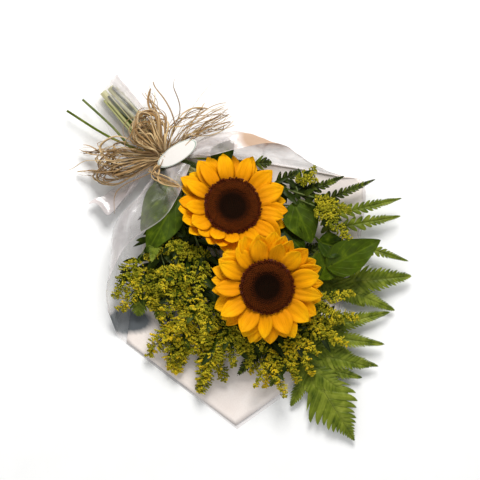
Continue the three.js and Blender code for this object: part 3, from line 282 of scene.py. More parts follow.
def piece(name, shape, material, slot, *nodes, thickness=0.0, smooth=True, lowest=ON_SURFACE):
    """One Blender object from a shape, none of it under a height. It stands for the nodes named."""
    points = np.concatenate(shape.points)
    points[:, 2] = np.maximum(points[:, 2], lowest)
    mesh = bpy.data.meshes.new(name)
    mesh.from_pydata((points * MM).tolist(), [], shape.faces)
    corners = np.empty(len(mesh.loops), dtype=np.int32)
    mesh.loops.foreach_get("vertex_index", corners)
    places = mesh.uv_layers.new(name="place")
    places.data.foreach_set("uv", np.concatenate(shape.places)[corners].ravel())
    tones = mesh.attributes.new("tone", "FLOAT", "POINT")
    tones.data.foreach_set("value", np.concatenate(shape.tones))
    mesh.polygons.foreach_set("use_smooth", [smooth] * len(mesh.polygons))
    mesh.materials.append(material)
    mesh.update()
    thing = bpy.data.objects.new(name, mesh)
    bpy.context.scene.collection.objects.link(thing)
    if thickness:
        solid = thing.modifiers.new("thickness", "SOLIDIFY")
        solid.thickness = thickness * MM
        solid.offset = 0
    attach(thing, "root")
    if nodes:
        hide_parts(*nodes)
    return thing


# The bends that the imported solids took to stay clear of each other

LIFTS = (0, 4, -4, 8, -8, 13, -13, 18, 24)


def corner_tree(node):
    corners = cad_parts[node].data.vertices
    tree = kdtree.KDTree(len(corners))
    for k, corner in enumerate(corners):
        tree.insert(corner.co / MM, k)
    tree.balance()
    return tree


def bend_of(tree, bends, marks):
    """The bend whose marks, points of the piece when so bent, are nearest to the node's corners"""
    return min(bends, key=lambda bend: sum(tree.find(p)[2] for p in marks(bend)))


# The wrap's surfaces

def on_ellipse(centre, axes, angle):
    turn = math.radians(angle)
    return centre + V(axes[0] * math.cos(turn), 0, axes[1] * math.sin(turn))


def cone_ray(ray, t):
    angle, end, bow, hump, _ = ray
    start = on_ellipse(TIE, FILM_AT_TIE, angle) + V(0, COLLAR, 0)
    middle = 4 * t * (1 - t)
    p = start.lerp(end, t) + bow * middle
    if hump is FLAT:
        drop = max(0.0, 1 - t / FLOOR_REACH)
        p.z = lerp(end.z, start.z, drop * drop)
    else:
        p.z = lerp(start.z, end.z, math.sin(t * math.pi / 2)) + hump * middle
    return p


def foot_ray(ray, t):
    angle, foot = ray[0], ray[4]
    start = on_ellipse(TIE, FILM_AT_TIE, angle) + V(0, -COLLAR, 0)
    if isinstance(foot, Vector):
        return start.lerp(foot, t)
    centre = (TIE + V(0, -COLLAR, 0)).lerp(FOOT, t)
    around = [lerp(a, b, t) for a, b in zip(FILM_AT_TIE, FILM_AT_FOOT)]
    return on_ellipse(centre, around, lerp(angle, foot, t))


FILM_GRID = np.array(
    [[foot_ray(ray, t) for ray in RAYS] for t in FOOT_STEPS]
    + [[cone_ray(ray, t) for ray in RAYS] for t in CONE_STEPS]
)


def inside_film(distance, first, end):
    """Rows that run inside the film at a distance, over some of its rays"""
    last_row, last_ray = FILM_GRID.shape[0] - 1, FILM_GRID.shape[1] - 1
    rows = np.arange(last_row + 1)
    rays = np.arange(last_ray + 1)
    along = FILM_GRID[np.minimum(rows + 1, last_row)] - FILM_GRID[np.maximum(rows - 1, 0)]
    across = FILM_GRID[:, np.minimum(rays + 1, last_ray)] - FILM_GRID[:, np.maximum(rays - 1, 0)]
    n = np.cross(across, along)
    n /= np.linalg.norm(n, axis=-1, keepdims=True)
    return (FILM_GRID - n * distance)[:, first:end]


LOW_ROWS = inside_film(SHEET_STEP, 5, 18)[len(FOOT_STEPS):]
LOW_CELLS = [LOW_ROWS[:-1, :-1], LOW_ROWS[:-1, 1:], LOW_ROWS[1:, 1:], LOW_ROWS[1:, :-1]]
LOW_CORNERS = [
    np.concatenate([LOW_CELLS[a].reshape(-1, 3), LOW_CELLS[b].reshape(-1, 3)])
    for a, b in ((0, 0), (1, 2), (2, 3))
]


def sheet_top(p):
    """Height of the sheets' upper face under a point, or 0 where there is none"""
    a, b, c = LOW_CORNERS
    area = (b[:, 0] - a[:, 0]) * (c[:, 1] - a[:, 1]) - (c[:, 0] - a[:, 0]) * (b[:, 1] - a[:, 1])
    u = ((b[:, 0] - p.x) * (c[:, 1] - p.y) - (c[:, 0] - p.x) * (b[:, 1] - p.y)) / area
    v = ((c[:, 0] - p.x) * (a[:, 1] - p.y) - (a[:, 0] - p.x) * (c[:, 1] - p.y)) / area
    w = 1 - u - v
    under = (u >= 0) & (v >= 0) & (w >= 0)
    if not under.any():
        return 0.0
    return max(0.0, (a[:, 2] * u + b[:, 2] * v + c[:, 2] * w)[under].max()) + 0.4


# Stems, which lie against each other as the solids do

SETTLING_ROUNDS = 90
STEM_GAP = CLEARANCE + 0.35


def in_bundle(side, angle, raised=0.0):
    turn = math.radians(angle)
    out = V(side * (PAIR_OFFSET + RING_OFFSET * math.cos(turn)), 0, RING_OFFSET * math.sin(turn))
    return TIE + out + V(0, 0, raised)


def in_foot(slot, y):
    t = (y - TIE.y) / (FOOT.y - TIE.y)
    return V(slot.x + (FOOT.x - TIE.x) * t, y, slot.z + (FOOT.z - TIE.z) * t)


class Stem:
    """A stem's middle line: its cut end, the straight run under the raffia, then a curve"""

    def __init__(self, slot, cut, through, segments, radius):
        foot = cut
        if not isinstance(cut, list):
            foot = [in_foot(slot, cut), in_foot(slot, lerp(cut, TIE.y, 0.5))]
        below, above = slot + V(0, -COLLAR, 0), slot + V(0, COLLAR, 0)
        curve = spaced_points([above, *through], segments)
        self.line = [p.copy() for p in foot] + [below] + curve
        self.held = len(foot) + 1
        self.radius = radius

    def push(self, i, by):
        if self.held < i < len(self.line) - 1:
            self.line[i] += by


def settle_pair(one, two):
    apart = one.radius + two.radius + STEM_GAP
    share = two.radius / (one.radius + two.radius)
    for i in range(len(one.line) - 1):
        for j in range(len(two.line) - 1):
            a, b = one.line[i], one.line[i + 1]
            c, d = two.line[j], two.line[j + 1]
            if min(a.y, b.y) - apart > max(c.y, d.y) or min(c.y, d.y) - apart > max(a.y, b.y):
                continue
            s, t = nearest_shares(a, b, c, d)
            gap = a.lerp(b, s) - c.lerp(d, t)
            distance = gap.length
            if distance >= apart:
                continue
            way = gap / distance if distance > 0.05 else UP
            short = apart - distance
            one.push(i, way * (short * share * (1 - s)))
            one.push(i + 1, way * (short * share * s))
            two.push(j, way * (-short * (1 - share) * (1 - t)))
            two.push(j + 1, way * (-short * (1 - share) * t))


def settle(stems):
    for _ in range(SETTLING_ROUNDS):
        for p, one in enumerate(stems):
            for two in stems[p + 1:]:
                settle_pair(one, two)
        for stem in stems:
            for point in stem.line[stem.held + 1:]:
                point.z = max(point.z, sheet_top(point) + stem.radius + STEM_GAP)


# What grows on the stems, as in the part's source

class Head:
    def __init__(self, name, centre, lean, neck, disc_radius, petal_reach, crowded_side, crowding, seed):
        self.name, self.seed = name, seed
        self.neck, self.disc_radius, self.petal_reach = neck, disc_radius, petal_reach
        self.crowded_side, self.crowding = math.radians(crowded_side), crowding
        turn = UP.rotation_difference(lean.normalized()).to_matrix().to_4x4()
        self.place = Matrix.Translation(centre) @ turn

    def grow_stem(self, side, cut, through):
        slot = V(TIE.x + side * PAIR_OFFSET, TIE.y, TIE.z)
        below = self.place @ V(0, 0, -self.neck - 6)
        top = self.place @ V(0, 0, -self.neck + 3)
        self.stem = Stem(slot, cut, [*through, below, top], 10, HEAD_STEM_RADIUS)

    def placed(self, points):
        """Points of the head's own frame, taken to the bunch's"""
        m = np.array(self.place)
        return np.asarray(points, float) @ m[:3, :3].T + m[:3, 3]


HEADS = [
    Head("sunflower_1", V(-30, -38, 45), V(-0.27, -0.08, 0.96), 13, 32, 67, 20, 0.9, 1000),
    Head("sunflower_2", V(6, 54, 68), V(0.03, 0.1, 0.99), 15, 30, 66, 215, 0.45, 2000),
]
HEADS[0].grow_stem(-1, -236, [V(-27, -100, 16), V(-31, -66, 20)])
HEADS[1].grow_stem(1, -238, [V(-6, -92, 17), V(0, -30, 19), V(5, 18, 27)])


class Plant:
    """A thin stem with what it carries"""

    def __init__(self, name, slot, cut, through, segments, carries):
        self.name, self.carries = name, carries
        self.stem = Stem(slot, cut, through, segments, THIN_STEM_RADIUS)


def fern(name, slot, cut, through, leaflets):
    return Plant(name, slot, cut, through, 10, leaflets)


def salal(name, slot, cut, through, leaves):
    return Plant(name, slot, cut, through, 9, leaves)


def goldenrod(name, slot, cut, through, plumes):
    return Plant(name, slot, cut, [*through, plumes[0][1]], 9, plumes)


# A fern's leaflets: the point of the midrib that each leaves (None at its end), tip, half width
FERNS = [
    fern("fern_1", in_bundle(1, 255), -232,
         [V(-7, -95, 6), V(6, -40, 6), V(20, 30, 8), V(30, 110, 10), V(40, 165, 12)],
         [(None, V(61, 254, 6), 26), (V(21, 105, 9), V(-43, 199, 12), 12),
          (V(27, 125, 10), V(-20, 212, 9), 11), (V(36, 150, 12), V(3, 208, 7), 9),
          (V(39, 158, 12), V(85, 173, 5), 9), (V(33, 122, 10), V(86, 140, 8), 10)]),
    fern("fern_2", in_bundle(-1, 325), -226,
         [V(-38, -98, 11), V(-70, -50, 10), V(-95, 5, 12), V(-103, 50, 14), V(-100, 90, 14)],
         [(None, V(-130, 150, 20), 11), (V(-96, 8, 12), V(-147, 28, 30), 7),
          (V(-100, 28, 13), V(-170, 56, 26), 7), (V(-103, 48, 14), V(-176, 93, 22), 8),
          (V(-103, 66, 14), V(-161, 107, 14), 8), (V(-102, 44, 14), V(-62, 92, 8), 8)]),
    fern("fern_3", in_bundle(1, 325),
         [V(26, -252, 15.5), V(14, -200, 16.5), V(1, -165, 16.6), V(-5, -150, 15.2)],
         [V(12, -104, 11), V(48, -80, 12), V(84, -60, 12), V(112, -44, 12)],
         [(None, V(136, -26, 10), 11), (V(88, -58, 12), V(124, 2, 7), 12),
          (V(72, -66, 12), V(98, 8, 7), 13), (V(56, -75, 12), V(76, 10, 7), 13),
          (V(40, -85, 12), V(52, 8, 7), 13)]),
    fern("fern_4", in_bundle(-1, 0), -222,
         [V(-44, -104, 16), V(-66, -80, 20), V(-84, -56, 22)],
         [(None, V(-99, -42, 24), 8), (V(-68, -77, 20), V(-62, -46, 16), 7)]),
    fern("fern_5", in_bundle(-1, 290), -229,
         [V(-24, -95, 7), V(-30, -30, 7), V(-34, 40, 8), V(-44, 90, 9), V(-62, 116, 9)],
         [(None, V(-121, 165, 12), 13), (V(-44, 92, 9), V(-79, 180, 6), 12),
          (V(-36, 52, 8), V(-74, 66, 6), 9), (V(-39, 72, 8), V(0, 104, 6), 9)]),
]

# Salal leaves: the point of the stem that the stalk leaves, base, tip, half width, shown side
SALALS = [
    salal("salal_1", in_bundle(-1, 70), -234,
          [V(-34, -98, 27), V(-58, -50, 22), V(-72, 0, 22), V(-74, 50, 27), V(-66, 80, 32)],
          [(V(-72, 0, 22), V(-84, 8, 30), V(-65, 56, 36), 18, V(-0.25, 0, 1)),
           (V(-66, 80, 32), V(-58, 88, 36), V(-124, 109, 44), 17, V(0.1, 0, 1)),
           (V(-74, 50, 27), V(-72, 60, 33), V(-93, 96, 40), 12, V(0.1, 0, 1))]),
    salal("salal_2", in_bundle(1, 105, -0.9), -230,
          [V(-13, -104, 29), V(0, -88, 34), V(16, -78, 36)],
          [(V(0, -88, 36), V(8, -90, 38), V(76, -70, 44), 17, UP)]),
    salal("salal_3", in_bundle(1, 290), -224,
          [V(6, -95, 12), V(28, -30, 16), V(42, 40, 24), V(46, 70, 28)],
          [(V(46, 70, 28), V(50, 72, 26), V(78, 98, 19), 12, UP),
           (V(42, 40, 24), V(48, 44, 20), V(98, 74, 13), 12, UP),
           (V(28, -30, 16), V(32, -24, 18), V(62, 10, 22), 12, UP)]),
]

# Goldenrod plumes: share of the stem that the branch leaves (None at its end), base, tip, width
SPRAYS = [
    goldenrod("goldenrod_1", in_bundle(1, 0),
              [V(4, -248, 20), V(2, -200, 22), V(4, -165, 21.5), V(0.5, -150, 17.5)],
              [V(16, -102, 22), V(46, -76, 26), V(76, -58, 24)],
              [(None, V(84, -55, 22), V(144, -46, 15), 18), (0.86, V(72, -46, 30), V(108, -20, 28), 16),
               (0.7, V(46, -62, 38), V(60, -30, 42), 14), (0.55, V(34, -62, 24), V(80, -66, 30), 13)]),
    goldenrod("goldenrod_2", in_bundle(1, 35), -230,
              [V(8, -98, 24), V(36, -50, 24), V(66, -6, 26)],
              [(None, V(74, 4, 27), V(149, 46, 10), 22), (0.86, V(64, -16, 34), V(118, -6, 26), 17),
               (0.72, V(52, -24, 36), V(94, -32, 42), 14), (0.95, V(62, 12, 38), V(114, 18, 34), 14)]),
    goldenrod("goldenrod_3", in_bundle(1, 70), -226,
              [V(4, -94, 28), V(26, -40, 30), V(52, 20, 30)],
              [(None, V(64, 44, 30), V(145, 86, 9), 17), (0.9, V(58, 24, 34), V(100, 48, 26), 14),
               (0.62, V(34, -18, 40), V(68, 6, 46), 13), (0.95, V(54, 50, 40), V(102, 74, 34), 14)]),
    goldenrod("goldenrod_4", V(TIE.x, TIE.y, TIE.z - 4.3), -228,
              [V(-3, -95, 12), V(16, -30, 13), V(32, 40, 17), V(36, 90, 21)],
              [(None, V(40, 112, 22), V(89, 134, 12), 11), (0.95, V(30, 112, 26), V(54, 146, 20), 10),
               (0.93, V(53, 106, 30), V(81, 158, 22), 10), (0.88, V(24, 118, 34), V(40, 164, 20), 10)]),
    goldenrod("goldenrod_5", in_bundle(-1, 255), -227,
              [V(-16, -95, 12), V(-12, -30, 13), V(2, 50, 18), V(6, 90, 24)],
              [(None, V(2, 104, 27), V(-42, 154, 26), 14), (0.95, V(12, 112, 28), V(-12, 166, 22), 12),
               (0.92, V(-8, 96, 33), V(-58, 130, 30), 11)]),
    goldenrod("goldenrod_6", in_bundle(-1, 35), -231,
              [V(-38, -98, 20), V(-76, -44, 19), V(-90, 6, 26)],
              [(None, V(-98, 28, 38), V(-99, 82, 41), 13), (0.9, V(-100, -6, 30), V(-128, -2, 32), 10)]),
]
settle([one.stem for one in [*HEADS, *SPRAYS, *SALALS, *FERNS]])


# Materials

def colour(hexadecimal):
    """A colour of the shader from red, green and blue as they are seen"""
    parts = [int(hexadecimal[k:k + 2], 16) / 255 for k in (0, 2, 4)]
    return (*(p / 12.92 if p <= 0.04045 else ((p + 0.055) / 1.055) ** 2.4 for p in parts), 1.0)


class Surface:
    """One material, built from textures to the shader"""

    def __init__(self, name, **constants):
        self.material = bpy.data.materials.new(name)
        self.material.use_nodes = True
        self.tree = self.material.node_tree
        self.shader = self.tree.nodes["Principled BSDF"]
        for socket, value in constants.items():
            self.shader.inputs[socket.replace("_", " ")].default_value = value

    def feed(self, socket, value):
        if isinstance(value, bpy.types.NodeSocket):
            self.tree.links.new(value, socket)
        else:
            socket.default_value = value

    def add(self, kind, inputs=None, **settings):
        node = self.tree.nodes.new("ShaderNode" + kind)
        for key, value in settings.items():
            setattr(node, key, value)
        for key, value in (inputs or {}).items():
            self.feed(node.inputs[key], value)
        return node

    def place(self, stretch=(1, 1, 1), on_surface=False):
        """Object coordinates in metres, or the place across and along each surface"""
        origin = self.add("TexCoord").outputs["UV" if on_surface else "Object"]
        return self.add("Mapping", {"Vector": origin, "Scale": stretch}).outputs["Vector"]

    def part(self, axis, on_surface=False):
        """The place along one axis"""
        return self.add("SeparateXYZ", {"Vector": self.place(on_surface=on_surface)}).outputs[axis]

    def across(self):
        return self.part("X", on_surface=True)

    def along(self):
        return self.part("Y", on_surface=True)

    def tone(self):
        return self.add("Attribute", attribute_name="tone").outputs["Fac"]

    def noise(self, scale, detail=3, place=None):
        inputs = {"Vector": place or self.place(), "Scale": scale, "Detail": detail}
        return self.add("TexNoise", inputs).outputs["Fac"]

    def cell_edges(self, scale, place):
        """How far it is to the nearest edge between cells"""
        node = self.add("TexVoronoi", {"Vector": place, "Scale": scale}, feature="DISTANCE_TO_EDGE")
        return node.outputs["Distance"]

    def ramp(self, share, stops):
        node = self.add("ValToRGB", {"Fac": share})
        elements = node.color_ramp.elements
        while len(elements) < len(stops):
            elements.new(1)
        for element, (position, value) in zip(elements, stops):
            element.position = position
            element.color = colour(value) if isinstance(value, str) else (value, value, value, 1)
        return node.outputs["Color"]

    def mixed(self, share, one, two):
        node = self.add("Mix", data_type="RGBA")
        for index, value in ((0, share), (6, one), (7, two)):
            self.feed(node.inputs[index], colour(value) if isinstance(value, str) else value)
        return node.outputs[2]

    def maths(self, how, one, two=0.0, three=0.0):
        return self.add("Math", {0: one, 1: two, 2: three}, operation=how).outputs[0]

    def bump(self, height, distance, strength=0.6):
        inputs = {"Height": height, "Distance": distance * MM, "Strength": strength}
        return self.add("Bump", inputs).outputs["Normal"]

    def rough(self, share, least, most):
        """A roughness that goes from least to most as the share goes from 0 to 1"""
        return self.ramp(share, [(0, least), (1, most)])

    def finish(self, **inputs):
        for socket, value in inputs.items():
            self.feed(self.shader.inputs[socket.replace("_", " ")], value)
        return self.material


def petal_material():
    s = Surface("petal", Specular_IOR_Level=0.05)
    # Deeper orange toward the base: partly the petal's own colour, partly painted shade where the petals
    # overlap near the disc
    length = s.ramp(s.along(), [(0, "8a4a02"), (0.2, "cf8203"), (0.5, "f6a903"), (1, "ffc70c")])
    patches = s.noise(120, 3)
    warm = s.mixed(s.ramp(patches, [(0.35, 0.0), (0.7, 0.5)]), length, "ea9803")
    light = s.mixed(s.ramp(s.tone(), [(0, 0.6), (0.6, 0.0)]), warm, "e88f04")
    veins = s.noise(5, 3, s.place((7, 0.6, 1), on_surface=True))
    dark = s.mixed(s.ramp(veins, [(0.38, 0.4), (0.52, 0.0)]), light, "c47a04")
    grooves = s.bump(veins, 0.8, 0.8)
    rough = s.ramp(patches, [(0.3, 0.5), (0.8, 0.62)])
    return s.finish(Base_Color=dark, Roughness=rough, Normal=grooves)


def disc_material():
    s = Surface("disc", Specular_IOR_Level=0.03)
    ring = s.ramp(s.tone(), [
        (0, "0a0e06"), (0.34, "040402"), (0.44, "120904"), (0.55, "54250c"), (0.82, "6e3410"), (1, "561d12"),
    ])
    tips = s.ramp(s.along(), [(0.55, 0.0), (1, 1.0)])
    outer = s.ramp(s.tone(), [(0.45, 0.0), (0.7, 0.6)])
    tip_colour = s.ramp(s.tone(), [(0.97, "8c4515"), (0.985, "c9988a")])
    lit = s.mixed(s.maths("MULTIPLY", tips, outer), ring, tip_colour)
    speckle = s.noise(900, 2)
    base = s.mixed(s.ramp(speckle, [(0.4, 0.5), (0.65, 0.0)]), lit, "160c06")
    return s.finish(Base_Color=base, Roughness=s.rough(speckle, 0.75, 0.95))


FERN_VEINS = 9
VEIN_SLANT = 1.1


def green_material(name, dark, mid, light, gloss, veins, bump_size):
    """A leaf's green: darker in patches and in painted shade, with veins that leave the midrib"""
    s = Surface(name, Specular_IOR_Level=gloss, Sheen_Weight=0.05)
    patches = s.noise(90, 4)
    base = s.ramp(patches, [(0.3, dark), (0.55, mid), (0.8, light)])
    # Darker where the tone is low: the tone differs at random, and is lowered to paint shade on shaded
    # leaflets, in the notches between lobes and along the fern midribs; the darkest mix is painted shade
    tinted = s.mixed(s.ramp(s.tone(), [(0, 0.55), (0.6, 0.0)]), base, dark)
    with_painted_shade = s.mixed(s.ramp(s.tone(), [(0.04, 0.75), (0.24, 0.0)]), tinted, "10180a")
    lighter = s.mixed(s.ramp(s.tone(), [(0.5, 0.0), (1, 0.45)]), with_painted_shade, light)
    from_rib = s.maths("ABSOLUTE", s.maths("SUBTRACT", s.across(), 0.5))
    slanted = s.maths("MULTIPLY_ADD", from_rib, -VEIN_SLANT, s.along())
    stripes = s.maths("PINGPONG", s.maths("MULTIPLY", slanted, veins), 1.0)
    vein = s.ramp(stripes, [(0, 0.6), (0.16, 0.0)])
    rib = s.ramp(from_rib, [(0.012, 0.8), (0.045, 0.0)])
    lines = s.maths("MAXIMUM", vein, rib)
    ribbed = s.mixed(s.maths("MULTIPLY", lines, 0.5), lighter, light)
    fine = s.maths("MULTIPLY_ADD", s.noise(700, 2), 0.35, s.maths("MULTIPLY", lines, -0.8))
    rough = s.ramp(patches, [(0.3, 0.34), (0.8, 0.5)])
    return s.finish(Base_Color=ribbed, Roughness=rough, Normal=s.bump(fine, bump_size, 0.6))


def stem_material():
    s = Surface("stem", Specular_IOR_Level=0.35, Sheen_Weight=0.3)
    length = s.noise(60, 4, s.place((1, 0.12, 1)))
    base = s.ramp(length, [(0.3, "a5ac62"), (0.55, "bfba77"), (0.8, "d3cb98")])
    fibre = s.noise(500, 2, s.place((1, 0.08, 1)))
    streaked = s.mixed(s.ramp(fibre, [(0.4, 0.3), (0.6, 0.0)]), base, "748a42")
    return s.finish(Base_Color=streaked, Roughness=s.rough(length, 0.5, 0.7), Normal=s.bump(fibre, 0.4, 0.7))


def thin_stem_material():
    s = Surface("thin_stem", Specular_IOR_Level=0.3)
    length = s.noise(70, 3)
    base = s.ramp(length, [(0.3, "4a5a26"), (0.6, "6c7840"), (0.85, "8f8c5c")])
    at = s.add("SeparateXYZ", {"Vector": s.place()}).outputs
    low = s.ramp(s.maths("MULTIPLY_ADD", at["Y"], -10, -1.4), [(0, 0.0), (0.3, 0.95)])
    in_sleeve = s.ramp(s.maths("MULTIPLY", at["X"], -40), [(0, 0.0), (0.3, 1.0)])
    pale = s.mixed(s.maths("MULTIPLY", low, in_sleeve), base, "b4b47c")
    fibre = s.noise(800, 2)
    return s.finish(Base_Color=pale, Roughness=s.rough(fibre, 0.5, 0.75), Normal=s.bump(fibre, 0.25))


def floret_material():
    s = Surface("goldenrod", Specular_IOR_Level=0.08, Sheen_Weight=0.03)
    length = s.ramp(s.along(), [(0, "1e2b05"), (0.45, "71780b"), (1, "f2d936")])
    # More golden where the tone is high and duller where it is low: partly the plume's gold and chance,
    # partly painted light on the upper side of each twig
    golden = s.mixed(s.ramp(s.tone(), [(0.66, 0.0), (1, 0.65)]), length, "efc61b")
    duller = s.mixed(s.ramp(s.tone(), [(0.1, 0.9), (0.55, 0.0)]), golden, "53650c")
    patches = s.noise(60, 2)
    base = s.mixed(s.ramp(patches, [(0.4, 0.6), (0.54, 0.0)]), duller, "52600a")
    return s.finish(Base_Color=base, Roughness=s.rough(patches, 0.7, 0.9))


def film_opacity(s, folds):
    """How milky the film is: along folds and creases (partly painted highlight), on its edge, in its marks
    and where it turns away. It is clearest over the stems, over the leaf at the flap and where it lies on the
    floor."""
    turned = s.add("LayerWeight", {"Blend": 0.3}).outputs["Facing"]
    bent = s.add("TexNoise", {"Vector": s.place(), "Scale": 22, "Detail": 2}).outputs["Color"]
    warped = s.add("VectorMath", {0: bent, 1: (0.05, 0.05, 0.05), 2: s.place()}, operation="MULTIPLY_ADD")
    crease = s.ramp(s.cell_edges(26, warped.outputs["Vector"]), [(0, 0.12), (0.06, 0.0)])
    cloud = s.maths("ADD", crease, s.ramp(folds, [(0.3, 0.5), (0.47, 0.27), (0.58, 0.4), (0.72, 0.85)]))
    marked = s.ramp(s.tone(), [(0.05, 0.6), (0.42, 0.0), (0.55, 0.0), (0.95, 0.85)])
    milky = s.maths("MULTIPLY_ADD", turned, 0.45, cloud)
    edge = s.ramp(s.along(), [(0.985, 0.0), (0.993, 0.3)])
    ear = s.ramp(s.across(), [(0.1, 0.0), (0.15, 1.0), (0.22, 1.0), (0.26, 0.0)])
    beside_stems = s.ramp(s.across(), [(0.6, 0.5), (0.66, 1.0), (0.83, 1.0), (0.88, 0.3)])
    foot = s.maths("MAXIMUM", beside_stems, s.ramp(s.along(), [(0.18, 0.3), (0.3, 1.0)]))
    on_foot = s.ramp(s.along(), [(0.19, 1.0), (0.26, 0.0)])
    ear_part = s.maths("MULTIPLY_ADD", on_foot, 2.4, 1.1)
    sleeve = s.maths("MAXIMUM", s.maths("MULTIPLY", ear, ear_part), foot)
    over_leaf = s.ramp(s.across(), [
        (0.04, 1.0), (0.09, 0.2), (0.15, 0.2), (0.19, 1.0), (0.24, 0.9), (0.28, 0.5), (0.36, 0.5), (0.4, 1.0),
    ])
    standing = s.ramp(s.part("Z"), [(0.002, 0.35), (0.007, 1.0)])
    cleared = s.maths("MAXIMUM", over_leaf, on_foot)
    veil = s.maths("MULTIPLY", s.maths("MULTIPLY", milky, sleeve), cleared)
    return s.maths("MULTIPLY_ADD", s.maths("ADD", edge, veil), standing, marked)


def film_material():
    """Clear film, white along its folds partly as painted highlight, with beige and grey marks and painted
    shade in the hollow under its roll
    """
    s = Surface("film", Specular_IOR_Level=0.7, IOR=1.5, Sheen_Weight=0.5)
    folds = s.noise(5, 4, s.place((4, 0.6, 1), on_surface=True))
    broad = s.noise(26, 3)
    # White along the folds: partly the film's own milky creases, partly painted highlight
    base = s.ramp(folds, [(0.3, "cdc2c0"), (0.5, "eae0de"), (0.62, "f8f2f1"), (0.75, "ffffff")])
    tinted = s.mixed(s.ramp(s.tone(), [(0.55, 0.0), (0.85, 0.9)]), base, "b08a66")
    # Slate where the tone is low: painted shade in the hollow under the roll, and a little grey in the film's
    # grey marks
    hollow = s.mixed(s.ramp(s.tone(), [(0.1, 0.95), (0.4, 0.0)]), tinted, "454e54")
    opacity = film_opacity(s, folds)
    height = s.maths("MULTIPLY_ADD", broad, 0.8, folds)
    dull = s.ramp(s.tone(), [(0.6, 0.0), (0.85, 0.75)])
    rough = s.maths("MAXIMUM", dull, s.ramp(folds, [(0.3, 0.12), (0.8, 0.28)]))
    return s.finish(Base_Color=hollow, Alpha=opacity, Roughness=rough, Normal=s.bump(height, 4, 0.5))


def paper_material():
    s = Surface("paper", Specular_IOR_Level=0.2, Sheen_Weight=0.3)
    folds = s.noise(30, 4)
    fibre = s.noise(600, 3)
    base = s.ramp(folds, [(0.25, "f2e6de"), (0.6, "fbf1ea"), (0.85, "fffaf5")])
    flecked = s.mixed(s.ramp(fibre, [(0.3, 0.15), (0.6, 0.0)]), base, "d9cbc0")
    # Slate where the tone is low: painted shade in the hollow under the film's roll
    with_hollow_shade = s.mixed(s.ramp(s.tone(), [(0.3, 0.95), (0.75, 0.0)]), flecked, "454e54")
    height = s.maths("MULTIPLY_ADD", fibre, 0.08, folds)
    return s.finish(Base_Color=with_hollow_shade, Roughness=s.rough(fibre, 0.8, 0.95), Normal=s.bump(height, 3, 0.4))


def raffia_material():
    s = Surface("raffia", Specular_IOR_Level=0.3, Sheen_Weight=0.2)
    shade = s.ramp(s.tone(), [(0, "84602f"), (0.45, "c09a63"), (1, "ecd09b")])
    fibre = s.noise(14, 3, s.place((5, 0.4, 1), on_surface=True))
    streaked = s.mixed(s.ramp(fibre, [(0.35, 0.4), (0.6, 0.0)]), shade, "775834")
    return s.finish(Base_Color=streaked, Roughness=s.rough(fibre, 0.6, 0.85), Normal=s.bump(fibre, 0.3))


def label_material():
    s = Surface("label", Specular_IOR_Level=0.5, Coat_Weight=0.2)
    rim = s.ramp(s.along(), [(0.86, "eeeae4"), (0.88, "8fa596"), (0.91, "8fa596"), (0.93, "eeeae4")])
    grain = s.noise(400, 2)
    base = s.mixed(s.ramp(grain, [(0.3, 0.12), (0.7, 0.0)]), rim, "d8d0c2")
    return s.finish(Base_Color=base, Roughness=s.rough(grain, 0.3, 0.42), Normal=s.bump(grain, 0.1, 0.3))


PETAL = petal_material()
DISC = disc_material()
FERN = green_material("fern", "3c4c0c", "667418", "959c3c", 0.12, FERN_VEINS, 0.3)
SALAL = green_material("salal", "1a2800", "2e4200", "62740f", 0.08, 8, 0.5)
# The goldenrod leaves' greens are darker than their own: painted shade, as they lie under the plumes
LEAFY = green_material("goldenrod_leaf", "182402", "2a3904", "4a5712", 0.08, 6, 0.25)
STEM = stem_material()
THIN_STEM = thin_stem_material()
FLORET = floret_material()
FILM = film_material()
PAPER = paper_material()
RAFFIA = raffia_material()
LABEL_CARD = label_material()


# The wrap

CELLS_BETWEEN_RAYS = 10
FOOT_CELLS, CONE_CELLS = 8, 14  # from one row of the sheet to the next


def film_surface(rows, first_ray):
    """Rows of the film or paper made finer: the foot, the straight run under the raffia, the cone.
    Between rays that lie flat the cone is straight, so that its corners stay sharp."""
    split = len(rows) - len(CONE_STEPS)
    foot = refine(rows[:split], FOOT_CELLS) if split > 1 else rows[:split]
    cone = refine(rows[split:], CONE_CELLS)
    coarse = np.concatenate([foot, cone])
    fine = refine(coarse, CELLS_BETWEEN_RAYS, axis=1)
    for k in range(coarse.shape[1] - 1):
        ends = RAYS[first_ray + k:first_ray + k + 2]
        if all(ray[3] is FLAT for ray in ends):
            for n in range(CELLS_BETWEEN_RAYS):
                share = n / CELLS_BETWEEN_RAYS
                fine[:, k * CELLS_BETWEEN_RAYS + n] = lerp(coarse[:, k], coarse[:, k + 1], share)
    return fine, len(foot)


# Marks of the film, with their reach and strength: the beige roll, and a little grey on the flared side,
# on the sleeve, along the paper and on the ear
FILM_MARKS = [
    (V(-106, -78, 42), 22, 0.45), (V(-118, -52, 40), 22, 0.22),
    (V(77, -100, 52), 34, -0.18), (V(58, -117, 38), 28, -0.26),
    (V(-34, -230, 18), 32, -0.17), (V(162, 44, 0), 50, -0.24), (V(80, -146, 16), 26, -0.17),
]
# The painted shade of the hollow under the film's roll: middle, half length and half width, along the
# picture's sides
HOLLOW_SHADE = (V(145, -27, 0), 27, 15)


def hollow_shade_share(surface):
    """1 where shade is painted in the hollow under the film's roll, 0 outside it"""
    middle, long_side, short_side = HOLLOW_SHADE
    x, y = surface[..., 0] - middle.x, surface[..., 1] - middle.y
    distance = ((y - x) / long_side) ** 2 / 2 + ((y + x) / short_side) ** 2 / 2
    return np.exp(-distance**1.5)


